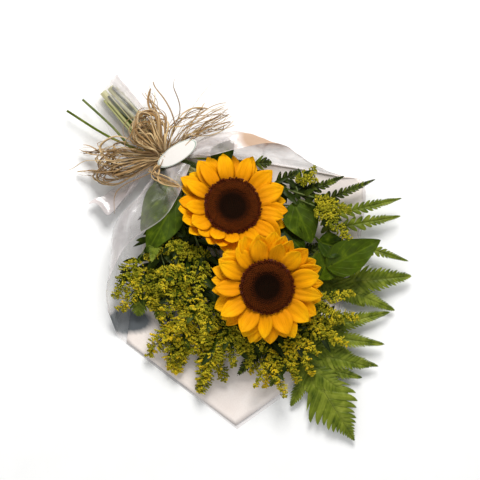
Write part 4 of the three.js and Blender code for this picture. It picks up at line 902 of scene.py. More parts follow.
def film_tones(surface):
    tones = np.full(surface.shape[:2], 0.5)
    for centre, size, strength in FILM_MARKS:
        distance = np.linalg.norm(surface - np.array(centre), axis=-1)
        tones += strength * np.exp(-((distance / size) ** 2))
    # The tone drops in the hollow, where the film gets painted shade
    return np.clip(tones - hollow_shade_share(surface), 0, 1)


# Where the film flares, at its side and at its ear: middle of the flare, its reach, and its move
FLARES = [(V(72, -112, 22), 34, V(10.6, -10.6, 0)), (V(42, -148, 28), 24, V(34, 22, 0))]


def flared(surface):
    """The film's surface with its flares"""
    moved = surface.copy()
    for middle, reach, move in FLARES:
        distance = np.linalg.norm(surface - np.array(middle), axis=-1)
        moved += np.exp(-((distance / reach) ** 2))[..., None] * np.array(move)
    return moved


PLEATS, SMALL_PLEATS = 19, 31  # waves from one edge of the sheet to the other
PLEAT_DEPTH, CRUSH_DEPTH = 0.8, 1.4
PLEATS_FADE = 12  # the pleats are deepest at one part in so many of the way from the tie
STANDING_FROM, STANDING_OVER = 3, 12  # the height from which the film crumples, and over which that grows


def film_wrap():
    surface, split = film_surface(FILM_GRID, 0)
    surface = flared(surface)
    out = normals_of(surface)
    steps = len(surface) - split
    t = np.zeros(len(surface))
    t[split:] = np.linspace(0, 1, steps)
    t[:split] = np.linspace(1, 0, split)
    u = np.linspace(0, 1, surface.shape[1])
    pleats = np.sin(u * 2 * math.pi * PLEATS) + 0.6 * np.sin(u * 2 * math.pi * SMALL_PLEATS + 2)
    swell = t * PLEATS_FADE * np.exp(1 - t * PLEATS_FADE)
    crush = ripple(surface, 46, 11) + 0.5 * ripple(surface, 17, 23)
    standing = np.clip((surface[..., 2] - STANDING_FROM) / STANDING_OVER, 0, 1)
    pleated = swell[:, None] * pleats[None, :] * PLEAT_DEPTH
    crumpled = crush * np.minimum(t * 5, 1)[:, None] * CRUSH_DEPTH * standing
    surface = surface + out * (pleated + crumpled)[..., None]
    shape = Shape()
    shape.grid(surface, film_tones(surface))
    piece("film_sheet", shape, FILM, "film", "film_wrap")


PAPER_WAVE, PAPER_LIFT = 60, 0.7  # length and height of its waves
PAPER_LOWEST = 1.2


def paper_liner():
    rows = inside_film(SHEET_STEP, *PAPER_RAYS)
    rows[-1] = rows[-2] + (rows[-1] - rows[-2]) * PAPER_REACH
    cone = rows[len(FOOT_STEPS):]
    foot = rows[len(FOOT_STEPS) - 1]
    start = foot + (cone[0] - foot) * PAPER_START
    surface, split = film_surface(np.concatenate([start[None], cone]), PAPER_RAYS[0])
    wave = 0.5 + 0.5 * ripple(surface, PAPER_WAVE, 5)
    free = np.zeros(len(surface))
    free[split:] = np.minimum(1, np.linspace(0, 4, len(surface) - split))
    surface[..., 2] += PAPER_LIFT * wave * free[:, None]
    surface[..., 2] = np.maximum(surface[..., 2], PAPER_LOWEST)
    shape = Shape()
    # The paper's tone drops in the hollow under the roll, for painted shade
    shape.grid(surface, 1 - hollow_shade_share(surface))
    piece("paper_sheet", shape, PAPER, "paper", "paper_liner", thickness=0.3)


# Sunflower heads

PETAL_ROWS = [
    {"count": 14, "rise": (0, -2), "height": 0.5, "reach": 1, "half": 9.6, "phase": 0},
    {"count": 13, "rise": (19, 8), "height": 2, "reach": 0.88, "half": 8.8, "phase": 0.5},
]
# Rows that fill the gaps of those, under and between them
FILLING_ROWS = [
    {"count": 14, "rise": (-5, -9), "height": -0.6, "reach": 0.97, "half": 9.4, "phase": 0.5},
]
PETAL_FULLNESS = 1.2  # of the width of a solid petal
PETAL_ROOT = 0.92  # share of the disc's radius at which the petals leave it
PETAL_LEAN = 13  # degrees, so that each laps over the next
STRAYING, FILLING_STRAYING = 0.3, 0.6  # of the angle from one petal to the next
CROWDED_RISES = (12, 56)  # degrees by which crowding lifts a petal, at its root and at its tip
CROWDED_SHORTENING = 0.12
TWIST, CROWDED_TWIST = 26, 60  # degrees
PETAL_SHARES = np.array([0, 0.4, 0.78, 1])
PETAL_STEPS = 5
PETAL_COLUMNS = 13
HIGH = np.array([0, 0, 1.0])


def outward(angle):
    """The directions away from a head's middle and square to that"""
    return np.array([math.cos(angle), math.sin(angle), 0]), np.array([-math.sin(angle), math.cos(angle), 0])


def revolved(profile, sides, radius=1):
    """Rings round a head's axis through a profile of distances and heights"""
    angles = np.arange(sides + 1) / sides * 2 * math.pi
    return [[(math.cos(t) * r * radius, math.sin(t) * r * radius, z) for t in angles] for r, z in profile]


def copy_on(head, shape, template, origins, frames, tones):
    """Copies of a template, placed in the head's own frame"""
    turn = np.array(head.place)[:3, :3].T
    shape.copies(template, head.placed(origins), np.array(frames) @ turn, np.array(tones))


def petal_width(s):
    swelling = 0.55 + 0.45 * np.sin(np.minimum(1, s / 0.42) * math.pi / 2)
    past = np.clip((s - 0.42) / 0.58, 0, 1)
    return swelling * np.power(np.maximum(0, 1 - past**2.3), 0.88)


def petal(head, row, layer, k):
    """The points of one petal in the head's own frame, on the line that its solid follows"""
    key = head.seed + layer * 100 + k
    turn = (draw(key) - 0.5) * (STRAYING if layer < len(PETAL_ROWS) else FILLING_STRAYING)
    angle = (k + row["phase"] + turn) / row["count"] * 2 * math.pi
    crowded = max(0.0, math.cos(angle - head.crowded_side)) * head.crowding
    rim = head.disc_radius * PETAL_ROOT
    reach = row["reach"] * (1 + 0.14 * (draw(key + 31) - 0.5)) * (1 - CROWDED_SHORTENING * crowded)
    length = (head.petal_reach - rim) * reach
    half_width = row["half"] * PETAL_FULLNESS * (1 + 0.4 * (draw(key + 57) - 0.5))
    start_rise = row["rise"][0] + 4 * (draw(key + 11) - 0.5) + CROWDED_RISES[0] * crowded
    end_rise = row["rise"][1] + 18 * (draw(key + 23) - 0.5) + CROWDED_RISES[1] * crowded
    lean = PETAL_LEAN + 8 * (draw(key + 77) - 0.5)

    out, side = outward(angle)
    at = out * rim + HIGH * row["height"]
    line = []
    for s, before in zip(PETAL_SHARES, [0, *PETAL_SHARES]):
        rise = math.radians(lerp(start_rise, end_rise, s))
        at = at + (out * math.cos(rise) + HIGH * math.sin(rise)) * ((s - before) * length)
        line.append(at)
    line = refine(line, PETAL_STEPS)
    s = refine(PETAL_SHARES[:, None], PETAL_STEPS)[:, 0]
    width = petal_width(s)
    twist = (TWIST + CROWDED_TWIST * crowded) * (draw(key + 91) - 0.5) * s
    tilt = np.radians(lean * np.minimum(1, 0.3 + 2 * s) + twist)[:, None]
    across = side * np.cos(tilt) + HIGH * np.sin(tilt)
    a = np.linspace(-1, 1, PETAL_COLUMNS)
    body = np.minimum(1, s * 5) * np.sqrt(1 - s)
    phase = 6 * draw(key + 5)
    cup = (0.6 + 1.6 * draw(key + 41)) * width[:, None] * np.abs(a) ** 1.6
    grooves = 0.75 * body[:, None] * np.cos(3 * math.pi * a)
    frill = 1.1 * np.sin(s * 7 + phase)[:, None] * a * width[:, None]
    curl = (3.5 * (draw(key + 47) - 0.6) * s**5)[:, None]
    lift = cup + grooves + frill + curl
    reach_across = (a * (half_width * width)[:, None])[..., None]
    return line[:, None, :] + across[:, None, :] * reach_across + HIGH * lift[..., None]


def petals(head):
    shape = Shape()
    for layer, row in enumerate(PETAL_ROWS + FILLING_ROWS):
        for k in range(row["count"]):
            shape.grid(head.placed(petal(head, row, layer, k)), draw(head.seed + layer * 100 + k + 3))
    name = head.name + "_petals"
    piece(name + "_fine", shape, PETAL, "petal", name, thickness=0.35)


DISC_SHARES = [0.04, 0.25, 0.45, 0.63, 0.79, 0.93, 1]
DISC_HEIGHTS = [5.4, 5.3, 5.9, 7.3, 7.9, 7.4, 5.8]
GOLDEN_TURN = math.pi * (3 - math.sqrt(5))
OPEN_FROM = 0.6  # share of the disc's radius from which its florets are open
FLORETS_TO = 0.985  # share of the radius that the florets fill
DISC_FULLNESS = 0.8  # times the square of the radius, in millimetres, gives the number of florets
CROWN_FULLNESS = 4.4  # florets of the rim for each millimetre of the radius
CROWN_HEIGHT = 5.2
# The core under the florets: share of the disc's radius, and height
DISC_CORE = [(0, 3.05), (0.88, 3.05), (0.99, 5.4), (0.93, 6.6), (0.79, 7.1), (0.63, 6.5), (0.45, 5.1),
             (0.2, 4.5), (0, 4.5)]


def ring_points(count, radius, height, phase=0.0):
    angles = (np.arange(count) + phase) / count * 2 * math.pi
    return np.stack([np.cos(angles) * radius, np.sin(angles) * radius, np.full(count, height)], axis=1)


def around(count, *rows):
    """Faces round a ring: each row lists the corners of one face, as (first of ring, step) pairs"""
    return [[start + (k + step) % count if start is not None else step for start, step in row]
            for row in rows for k in range(count)]


def open_floret():
    points = np.concatenate([ring_points(5, 0.4, 0), ring_points(5, 0.7, 1.7), ring_points(5, 1.3, 1.9, 0.5),
                             [[0, 0, 0.9]]])
    faces = around(5, [(0, 0), (0, 1), (5, 1), (5, 0)], [(5, 0), (5, 1), (10, 0)],
                   [(5, 1), (5, 0), (None, 15)])
    along = np.array([0] * 5 + [0.5] * 5 + [1] * 5 + [0.1])
    return points, faces, np.stack([np.full(16, 0.5), along], axis=1)


def bud():
    points = np.concatenate([ring_points(5, 1.0, -0.2), ring_points(5, 0.75, 0.8), [[0, 0, 1.3]]])
    faces = around(5, [(0, 0), (0, 1), (5, 1), (5, 0)], [(5, 0), (5, 1), (None, 10)])
    along = np.array([0] * 5 + [0.3] * 5 + [0.75])
    return points, faces, np.stack([np.full(11, 0.5), along], axis=1)


def disc_crown(head, shape):
    """Open florets round the rim, leaning out over the petals"""
    origins, frames, tones = [], [], []
    count = int(head.disc_radius * CROWN_FULLNESS)
    for k in range(count):
        angle = (k + 0.6 * draw(k + 17)) / count * 2 * math.pi
        out, side = outward(angle)
        up = out * (0.6 + 0.5 * draw(k + 29)) + HIGH
        up /= np.linalg.norm(up)
        size = 0.85 + 0.75 * draw(k + 37)
        frames.append(np.array([np.cross(side, up), side, up * 1.3]) * size)
        origins.append(out * head.disc_radius * (0.9 + 0.08 * draw(k + 3)) + HIGH * CROWN_HEIGHT)
        tones.append(0.85 + 0.15 * draw(k + 7))
    copy_on(head, shape, open_floret(), origins, frames, tones)


def disc(head):
    radius = head.disc_radius
    shape = Shape()
    disc_crown(head, shape)
    count = int(radius * radius * DISC_FULLNESS)
    shape.grid(head.placed(revolved(DISC_CORE, 40, radius)), 0.45)
    for opened in (False, True):
        origins, frames, tones = [], [], []
        for k in range(count):
            share = math.sqrt((k + 0.5) / count) * FLORETS_TO
            if (share > OPEN_FROM + 0.05 * (draw(k + 9) - 0.5)) != opened:
                continue
            out, _ = outward(k * GOLDEN_TURN)
            height = np.interp(share, DISC_SHARES, DISC_HEIGHTS)
            slope = (np.interp(share + 0.03, DISC_SHARES, DISC_HEIGHTS) - height) / (0.03 * radius)
            up = HIGH - out * (slope * 0.7 - (0.25 if opened else 0))
            up /= np.linalg.norm(up)
            side = np.cross(up, out)
            side /= np.linalg.norm(side)
            size = (0.95 if opened else 0.8 + 0.3 * share) * (0.85 + 0.3 * draw(k + 4))
            frames.append(np.array([np.cross(side, up), side, up]) * size)
            origins.append(out * share * radius + HIGH * (height - 1.1))
            tones.append(share)
        copy_on(head, shape, open_floret() if opened else bud(), origins, frames, tones)
    name = head.name + "_disc"
    piece(name + "_fine", shape, DISC, "disc", name, smooth=False)


# Leaves

def ovate(s):
    return 1.32 * np.power(np.maximum(0, np.sin(np.pi * np.power(s, 0.72))), 0.8) * (1 - 0.26 * s)


def pointed(s, taper):
    return max(0.0, 1 - s) ** taper * min(1, 0.55 + 3 * s)


LEAF_ROOT = 0.12  # share of the half width at a leaf's base
RIB_DEPTH, RIB_WIDTH = 0.5, 0.12  # in millimetres, and as a share of the half width


def leaf_axes(base, tip, up):
    along = tip - base
    length = along.length
    along = along.normalized()
    side = along.cross(up).normalized()
    return along, side, side.cross(along).normalized(), length


def leaf_grid(base, tip, half_width, up, arch, cup, rows=14, columns=9, wave=0.0, key=0):
    """A leaf's surface, on the lines of its solid, with a crease along its rib"""
    along, side, normal, length = leaf_axes(base, tip, up)
    s = np.linspace(0, 1, rows)[:, None]
    a = np.linspace(-1, 1, columns)[None, :]
    share = ovate(s)
    share[0] = LEAF_ROOT
    width = half_width * share
    lift = arch * 4 * s * (1 - s) + cup * share * np.abs(a) ** 1.3
    lift = lift + wave * share * a * np.sin(s * 11 + a * 2 + 6 * draw(key))
    lift = lift - RIB_DEPTH * np.exp(-((a / RIB_WIDTH) ** 2)) * share
    middle = np.array(base) + s[..., None] * length * np.array(along)
    return middle + (a * width)[..., None] * np.array(side) + lift[..., None] * np.array(normal)


HEAD_STEM_FULLNESS = 0.94  # of the solid stem's radius
BRACT_PAIRS = 8
BRACT_HALF_WIDTH = 5
BRACT_ROOT, BRACT_REACH = 0.74, 1.3  # shares of the disc's radius


def head_green(head):
    """The stem with its green base and bracts"""
    shape = Shape()
    line = spaced_points(head.stem.line, 60)
    shape.tube(line, lambda t: HEAD_STEM_RADIUS * HEAD_STEM_FULLNESS, 14)
    radius, neck = head.disc_radius, head.neck
    profile = [(HEAD_STEM_RADIUS, -neck), (HEAD_STEM_RADIUS * 1.2, -neck + 6), (radius * 0.55, -7.5),
               (radius * 0.86, -3.2), (radius * 0.88, -0.35), (0, -0.35)]
    shape.grid(head.placed(revolved(profile, 32)))
    for k in range(2 * BRACT_PAIRS):
        angle = (k / 2 + 0.3 * draw(k // 2 + 5)) / BRACT_PAIRS * 2 * math.pi
        out = V(math.cos(angle), math.sin(angle), 0)
        base = out * radius * BRACT_ROOT + V(0, 0, -4.2)
        reach = radius * BRACT_REACH + 4 * draw(k // 2 + 40) - 3 * (k % 2)
        tip = out * reach + V(0, 0, -8 - 4 * draw(k // 2 + 60))
        rows = leaf_grid(base, tip, BRACT_HALF_WIDTH, UP, 1.2, 1, rows=8, columns=5, wave=0.4, key=k)
        shape.grid(head.placed(rows), draw(k + 71))
    name = head.name + "_stem"
    piece(name + "_fine", shape, STEM, "stem", name)


# Thin stems

STEM_TIP_RADIUS = 1
STEM_FULLNESS = 0.9  # of the solid stem's radius
STEM_PIECES, STEM_SIDES = 50, 7


def stem_taper(t):
    return lerp(THIN_STEM_RADIUS, STEM_TIP_RADIUS, clamp01((t - 0.5) / 0.5)) * STEM_FULLNESS


def thin_stem(shape, line, tone):
    shape.tube(spaced_points(line, STEM_PIECES), stem_taper, STEM_SIDES, tone=tone)


# Small blades and heads, copied many times

def small_leaf(shares, widths, fold, droop):
    """A template of a small folded blade, one long and two wide"""
    points, places = [], []
    for x, w in zip(shares, widths):
        for y in (-w, 0, w):
            points.append([x, y, fold * abs(y) - droop * x * x])
            places.append([0.5 + 0.5 * y, x])
    n = len(shares)
    faces = [[3 * i + j, 3 * i + j + 1, 3 * i + j + 4, 3 * i + j + 3] for i in range(n - 1) for j in (0, 1)]
    return np.array(points, float), faces, np.array(places)


class Scatter:
    """Places for copies of one template"""

    def __init__(self):
        self.origins, self.frames, self.tones = [], [], []

    def add(self, origin, along, side, normal, tone):
        self.origins.append(np.array(origin))
        self.frames.append(np.array([along, side, normal]))
        self.tones.append(tone)

    def add_all(self, origins, frames, tones):
        self.origins.extend(origins)
        self.frames.extend(frames)
        self.tones.extend(tones)

    def into(self, shape, template):
        if self.origins:
            shape.copies(template, np.array(self.origins), np.array(self.frames), np.array(self.tones))


# Ferns

# From one notch of a blade's edge to the next: stations, and how far a tooth and a free lobe reach there
STATIONS = np.array([0, 0.2, 0.45, 0.7, 0.9, 1])
TOOTH = np.array([0, 0.45, 0.75, 0.92, 1, 0])
LOBE = np.array([0, 0.7, 1, 0.95, 0.6, 0])
TOOTH_CUT, LOBE_CUT = 0.36, 0.88  # depth of the notches, as shares of the reach
TOOTH_PITCH, LOBE_PITCH = 0.28, 0.85  # the same of their distance, over the least one
LEAST_PITCH = 2
BROAD_REACH = 30  # from which a blade narrows evenly to its tip
FORWARD = 0.8  # how far the teeth lean toward the tip
COLUMNS = np.array([0, 0.12, 0.4, 0.7, 1])  # from the rib to the edge
PINNA_ARCH = 3
TAPER, BROAD_TAPER = 0.72, 1


def pinna(shape, base, tip, reach, free, shade, key):
    """One leaflet of a frond: a rib and a toothed blade on both sides. Where free is 1, the notches
    near its base go down to the rib."""
    along, side, normal, length = leaf_axes(base, tip, UP)

    def at(s):
        return base + along * (s * length) + normal * (PINNA_ARCH * 4 * s * (1 - s))

    taper = BROAD_TAPER if reach > BROAD_REACH else TAPER
    # The rib's low tone paints shade along the midrib
    shape.tube([at(k / 8) + normal * 0.2 for k in range(9)], lambda t: 0.6 - 0.4 * t, 5, tone=0.35 - shade)
    for sign in (-1, 1):
        rows, edges, fractions, tones, bends, numbers = [], [], [], [], [], []
        s = 0.02 * draw(key + sign)
        number = 0
        while s < 0.97:
            chance = draw(key + 2 * number + sign)
            free_here = free * clamp01(1.6 - 2.4 * s)
            notches = lerp(TOOTH_PITCH, LOBE_PITCH, free_here) * reach * pointed(s, taper)
            pitch = (notches + LEAST_PITCH) * (0.85 + 0.3 * chance)
            cut = lerp(TOOTH_CUT, LOBE_CUT, free_here)
            for f, outline in zip(STATIONS, lerp(TOOTH, LOBE, free_here)):
                here = min(0.99, s + f * pitch / length)
                rows.append(at(here))
                edges.append(reach * pointed(here, taper) * (1 - cut * (1 - outline)) * (0.9 + 0.2 * chance))
                # Lower tone paints shade on shaded leaflets and in the notches between lobes
                tones.append(0.3 + 0.5 * draw(key + 5 * number + 31) - shade - (0.1 if f in (0, 1) else 0))
            fractions.extend(STATIONS)
            bends.extend([chance - 0.5] * len(STATIONS))
            numbers.extend([number] * len(STATIONS))
            s += pitch / length
            number += 1
        edge, f, bend, number = (np.array(v)[:, None] for v in (edges, fractions, bends, numbers))
        a = COLUMNS[None, :]
        out = np.array(side * sign + along * FORWARD)
        swell = 0.6 * np.sin(np.pi * f) * a * np.minimum(1, edge / 8)
        lift = a * edge * (0.1 - 0.12 * a) + swell + 1.2 * bend * a + 0.9 * np.minimum(1, a / 0.12)
        points = np.array(rows)[:, None, :] + (a * edge)[..., None] * out + lift[..., None] * np.array(normal)
        shape.grid(points, np.maximum(0, np.repeat(np.array(tones)[:, None], len(COLUMNS), axis=1)))
        v = 2 * (number + f + 0.5) / FERN_VEINS + VEIN_SLANT * 0.5 * a
        u = np.broadcast_to(0.5 + 0.5 * a * sign, v.shape)
        shape.places[-1] = np.stack([u, v], axis=-1).reshape(-1, 2)


# How much further the blades reach than the solid leaflet is wide, the leaflets that reach less than
# that, how free the lobes are, and the leaflets that get painted shade, and how much tone it takes off
USUAL_FULLNESS = 1.45
FERN_FULLNESS = {"fern_2": 1.35, "fern_4": 1.3}
NARROWED = {("fern_2", 0): 0.62}
FREE_LOBES = {"fern_2": 1.0, "fern_4": 0.5}
SHADE_PAINTED_LEAFLETS = {("fern_2", 1), ("fern_2", 2), ("fern_2", 6), ("fern_2", 7), ("fern_4", 0), ("fern_4", 1),
          ("fern_5", 2), ("fern_5", 7)}
PAINTED_SHADE = 0.5

# Leaflets that the solids leave out
MORE_LEAFLETS = {
    "fern_3": [(V(44, -83, 12), V(80, -58, 60), 10)],
    "fern_1": [(V(32, 130, 10), V(56, 196, 10), 15), (V(35, 145, 11), V(30, 214, 10), 13),
               (V(30, 120, 10), V(-8, 176, 12), 13), (V(30, 128, 10), V(-12, 205, 11), 14),
               (V(30, 112, 10), V(-74, 177, 9), 13)],
    "fern_5": [(V(-38, 62, 8), V(-92, 118, 9), 12), (V(-40, 76, 8), V(-58, 152, 8), 12),
               (V(-36, 60, 8), V(60, 100, 12), 10), (V(-40, 90, 8), V(104, 104, 12), 18)],
    "fern_2": [(V(-84, -22, 11), V(-116, -12, 22), 8), (V(-93, -2, 12), V(-124, 18, 24), 8)],
}


def frond(plant, number):
    shape = Shape()
    tree = corner_tree(plant.name)
    line = plant.stem.line
    thin_stem(shape, line, 0.35)
    for k, (at, tip, half_width) in enumerate(plant.carries + MORE_LEAFLETS.get(plant.name, [])):
        base = nearest_on(line, at) if at else line[-1]
        lift = 0
        if k < len(plant.carries):
            lift = bend_of(tree, LIFTS, lambda bend: [tip + V(0, 0, bend)])
        # Leaflets listed for painted shade get a lower tone, which the fern's material darkens
        shade = PAINTED_SHADE if (plant.name, k) in SHADE_PAINTED_LEAFLETS else 0.0
        reach = half_width * FERN_FULLNESS.get(plant.name, USUAL_FULLNESS) * NARROWED.get((plant.name, k), 1)
        free = FREE_LOBES.get(plant.name, 0)
        pinna(shape, base, tip + V(0, 0, lift), reach, free, shade, 3000 + 400 * number + 60 * k)
    piece(plant.name + "_fine", shape, FERN, "fern", plant.name, lowest=ON_PAPER)


# Salal

SALAL_ARCH, SALAL_CUP, SALAL_WAVE = 3.5, 3, 1.1  # how far a leaf's middle, edges and ripples rise
# Leaves that the solids leave out
MORE_LEAVES = {"salal_1": [
    (V(-66, 80, 32), V(-42, 90, 29), V(-90, 78, 31), 14, UP),
    (V(-36, -94, 27), V(-52, -88, 27), V(-87, -91, 36), 11, UP),
    (V(-74, 14, 23), V(-54, 12, 24), V(-52, 60, 28), 14, UP),
], "salal_2": [(V(-13, -104, 29), V(-2, -108, 34), V(64, -92, 40), 15, UP)]}


def leafy_stem(plant, number):
    shape = Shape()
    tree = corner_tree(plant.name)
    line = plant.stem.line
    thin_stem(shape, line, 0.5)
    for k, (start, base, tip, half_width, up) in enumerate(plant.carries + MORE_LEAVES.get(plant.name, [])):
        root = nearest_on(line, start)
        lift = 0
        if k < len(plant.carries):
            lift = bend_of(tree, LIFTS, lambda bend: [tip + V(0, 0, bend), base + V(0, 0, 0.3 * bend)])
        tip, base = tip + V(0, 0, lift), base + V(0, 0, 0.3 * lift)
        key = 5000 + 100 * number + 10 * k
        blade = leaf_grid(base, tip, half_width, up, SALAL_ARCH, SALAL_CUP, 22, 13, SALAL_WAVE, key)
        shape.grid(blade, 0.3 + 0.5 * draw(key))
        end = base.lerp(tip, 0.1) + up * 1.2
        shape.tube(spaced_points([root, root.lerp(end, 0.5) + V(0, 0, 1), end], 8), 0.8, 6, tone=0.6)
    piece(plant.name + "_fine", shape, SALAL, "salal", plant.name)


# Goldenrod

SPRIG_PITCH = 6
PLUME_SIDES = 8
SHRINKS = (1, 0.8, 0.62)
SKIPS = (0.5, 0.9, 1.4, 2)
PLUME_FLATNESS = 0.75


def plume_breadth(width, s):
    """How broad a plume is at a share of its length"""
    return width * min(1, 0.45 + 2.2 * s) * (1 - 0.72 * s)


def plume_sprigs(base, tip, width, key):
    """The middle line of a plume and the tips of the sprigs that its solid has"""
    reach = (tip - base).length
    middle = base.lerp(tip, 0.5) + V(0, 0, reach * 0.1)
    line = [base, middle, tip]
    steps = max(4, math.floor(reach / SPRIG_PITCH + 0.5))
    sprigs = []
    for i in range(1, steps):
        s = i / steps
        centre = curve_point(line, s)
        along = (curve_point(line, s + 1e-3) - curve_point(line, s - 1e-3)).normalized()
        side = along.cross(UP).normalized()
        over = side.cross(along).normalized()
        breadth = plume_breadth(width, s)
        for k in range(i % 2, PLUME_SIDES, 2):
            angle = (k + 0.5) / PLUME_SIDES * 2 * math.pi
            chance = draw(key + 17 * i + k)
            out = breadth * (0.75 + 0.5 * chance)
            end = centre + side * math.cos(angle) * out + over * math.sin(angle) * out * PLUME_FLATNESS
            sprigs.append(end + along * SPRIG_PITCH * (0.7 + 0.6 * chance))
    return line, sprigs


def plume_of(node, base, tip, width, key):
    """The middle line of a plume, as its solid is bent"""
    tree = corner_tree(node)
    way = (tip - base).normalized()

    def bent(bend):
        shrink, lift, skip = bend
        return plume_sprigs(base + way * skip, tip + V(0, 0, lift * 0.6), width * shrink, key)

    bends = [(shrink, lift, skip) for shrink in SHRINKS for lift in LIFTS for skip in SKIPS]
    return bent(bend_of(tree, bends, lambda bend: bent(bend)[1][::5]))[0]


def small_head():
    """A tiny flower head: a green cup that opens into a round yellow tuft"""
    points = np.concatenate([[[0, 0, -0.7]], ring_points(4, 1.1, 0.6), [[0, 0, 1.5]]])
    faces = around(4, [(None, 0), (1, 1), (1, 0)], [(1, 0), (1, 1), (None, 5)])
    along = np.array([0] + [0.68] * 4 + [1])
    return points, faces, np.stack([np.full(6, 0.5), along], axis=1)


def unit(rows):
    return rows / np.linalg.norm(rows, axis=1, keepdims=True)


def facing(ways, turns, sizes):
    """For each direction, axes with the third along it, turned about it and made to a size"""
    n = unit(ways)
    a = unit(np.cross(n, (0.31, 0.77, 0.55)))
    b = np.cross(n, a)
    c, s = np.cos(turns)[:, None], np.sin(turns)[:, None]
    return np.stack([a * c + b * s, b * c - a * s, n], axis=1) * sizes[:, None, None]


TWIG_PITCH = 4
TWIGS_AROUND = 6
FLORETS_PER_MM = 1.35  # of a twig's reach
CLUSTER = 3.4  # across the florets at a twig's end
PLUME_FULLNESS = 1.25  # of the width of a solid plume
TWIG_RADIUS = 0.25
LEAST_FLORETS = 4  # on a twig
DARKEST_TWIG, TWIG_GOLD, TWIG_BIAS = 0.05, 1.25, 1.6  # most twigs are darker than the middle of the range
SISTER_SIZE = 0.8  # of the width and the gold of the plume beside it


def plume(shape, heads, line, width, gold, key):
    """A plume: twigs that arch out of it all round its upper side, with florets on their outer part"""
    shape.tube([curve_point(line, k / 12) for k in range(13)], lambda t: 0.9 - 0.5 * t, 5, tone=0.2)
    length = sum((b - a).length for a, b in zip(line, line[1:]))
    steps = round(length / TWIG_PITCH)
    for i in range(steps * TWIGS_AROUND):
        chance, other, third = (draw(key + 13 * i + n) for n in (1, 2, 3))
        s = (i + chance) / (steps * TWIGS_AROUND)
        root = curve_point(line, s)
        along = (curve_point(line, min(1, s + 0.01)) - curve_point(line, s - 0.01)).normalized()
        side = along.cross(UP).normalized()
        over = side.cross(along)
        breadth = plume_breadth(PLUME_FULLNESS * width, s)
        turn = math.pi * (1.4 * other - 0.2)
        out = side * math.cos(turn) + over * math.sin(turn) * PLUME_FLATNESS
        reach = breadth * (0.4 + 0.62 * third)
        end = root + out * reach + along * (0.35 * reach + 2)
        bend = root.lerp(end, 0.55) + over * 0.22 * reach
        twig = [root, bend, end]
        shape.tube([curve_point(twig, k / 3) for k in range(4)], TWIG_RADIUS, 3, tone=0.1)
        bright = gold * (DARKEST_TWIG + TWIG_GOLD * draw(key + 13 * i + 5) ** TWIG_BIAS)
        count = round(FLORETS_PER_MM * reach) + LEAST_FLORETS
        add_cluster(heads, twig, side, over, count, bright, key + 31 * i)


def add_cluster(heads, twig, side, over, count, bright, key):
    """Florets round the outer part of a twig, with painted light that makes them brightest on its upper side
    """
    u = 1 - 0.65 * draws(key, count)
    stations = np.linspace(0, 1, 5)
    line = np.array([curve_point(twig, t) for t in stations])
    at = np.stack([np.interp(u, stations, line[:, n]) for n in range(3)], axis=1)
    aside = (draws(key + 411, count) - 0.5)[:, None]
    above = (draws(key + 823, count) - 0.3)[:, None]
    spread = CLUSTER * (1.15 - 0.6 * u)[:, None]
    side, over = np.array([side]), np.array([over])
    at = at + side * aside * spread + over * above * spread
    ways = side * aside * 3 + over * (above + 0.7) * 2 + unit(line[-1:] - line[:1])
    chances = draws(key + 1237, count)
    # The tone is higher on the twig's upper side: painted light; the rest differs at random and with the
    # plume's gold
    tones = 0.05 + bright * (0.3 + 0.6 * above[:, 0]) + 0.3 * chances
    heads.add_all(at, facing(ways, 6 * chances, 0.55 + 0.45 * chances), tones)


def sister(base, tip, key):
    """A shorter plume beside another, turned aside and a little lower"""
    way = tip - base
    turn = Matrix.Rotation(math.radians((24 + 16 * draw(key)) * (1 if draw(key + 1) > 0.5 else -1)), 3, "Z")
    return base + way * 0.12, base + turn @ way * (0.72 + 0.2 * draw(key + 2)) - V(0, 0, 2)


# Narrow leaves: shares of their length and the widths there, their lengths on the stem, on a branch and
# in a plume, and how much shorter they are on some sprays
LANCE_ROWS = [0, 0.12, 0.3, 0.5, 0.7, 0.86, 1]
LANCE_WIDTHS = [0.25, 0.65, 0.95, 1, 0.8, 0.45, 0]
STEM_LANCE, BRANCH_LANCE, PLUME_LANCE = 34, 24, 20
SHORT_LEAVED = {"goldenrod_6": 0.55}


def add_lances(leaves, line, first, count, length, key):
    """Narrow leaves that leave a line on all sides and lean forward"""
    for k in range(count):
        share = first + (1 - first) * (k + 0.5) / count
        root = point_along(line, share)
        ahead = (point_along(line, min(1, share + 0.03)) - point_along(line, share - 0.03)).normalized()
        turn = GOLDEN_TURN * k + 2 * draw(key)
        side = ahead.cross(UP).normalized()
        out = side * math.cos(turn) + side.cross(ahead) * math.sin(turn) * 0.45
        way = (ahead * 0.7 + out).normalized()
        reach = length * (0.7 + 0.6 * draw(key + 3 * k))
        normal = (UP - way * way.z).normalized()
        across = way.cross(normal).normalized()
        half_width = 2.6 + 1.6 * draw(key + k)
        leaves.add(root, way * reach, across * half_width, normal * 6, draw(key + 5 * k + 1) * 0.7)


# How golden and bright each spray's florets are, from dull green to full gold, and the plumes that are unlike
# their spray
GOLD = {"goldenrod_1": 0.6, "goldenrod_2": 1.6, "goldenrod_3": 0.7, "goldenrod_4": 1.8, "goldenrod_5": 1.25,
        "goldenrod_6": 0.45}
PLUME_GOLD = {
    ("goldenrod_1", 0): 1.3, ("goldenrod_1", 2): 0.3, ("goldenrod_1", 5): 0.2,
    ("goldenrod_2", 0): 2.2, ("goldenrod_2", 4): 2.2, ("goldenrod_2", 5): 2.2,
    ("goldenrod_3", 0): 1.3, ("goldenrod_3", 6): 1.3, ("goldenrod_6", 0): 0.25,
}

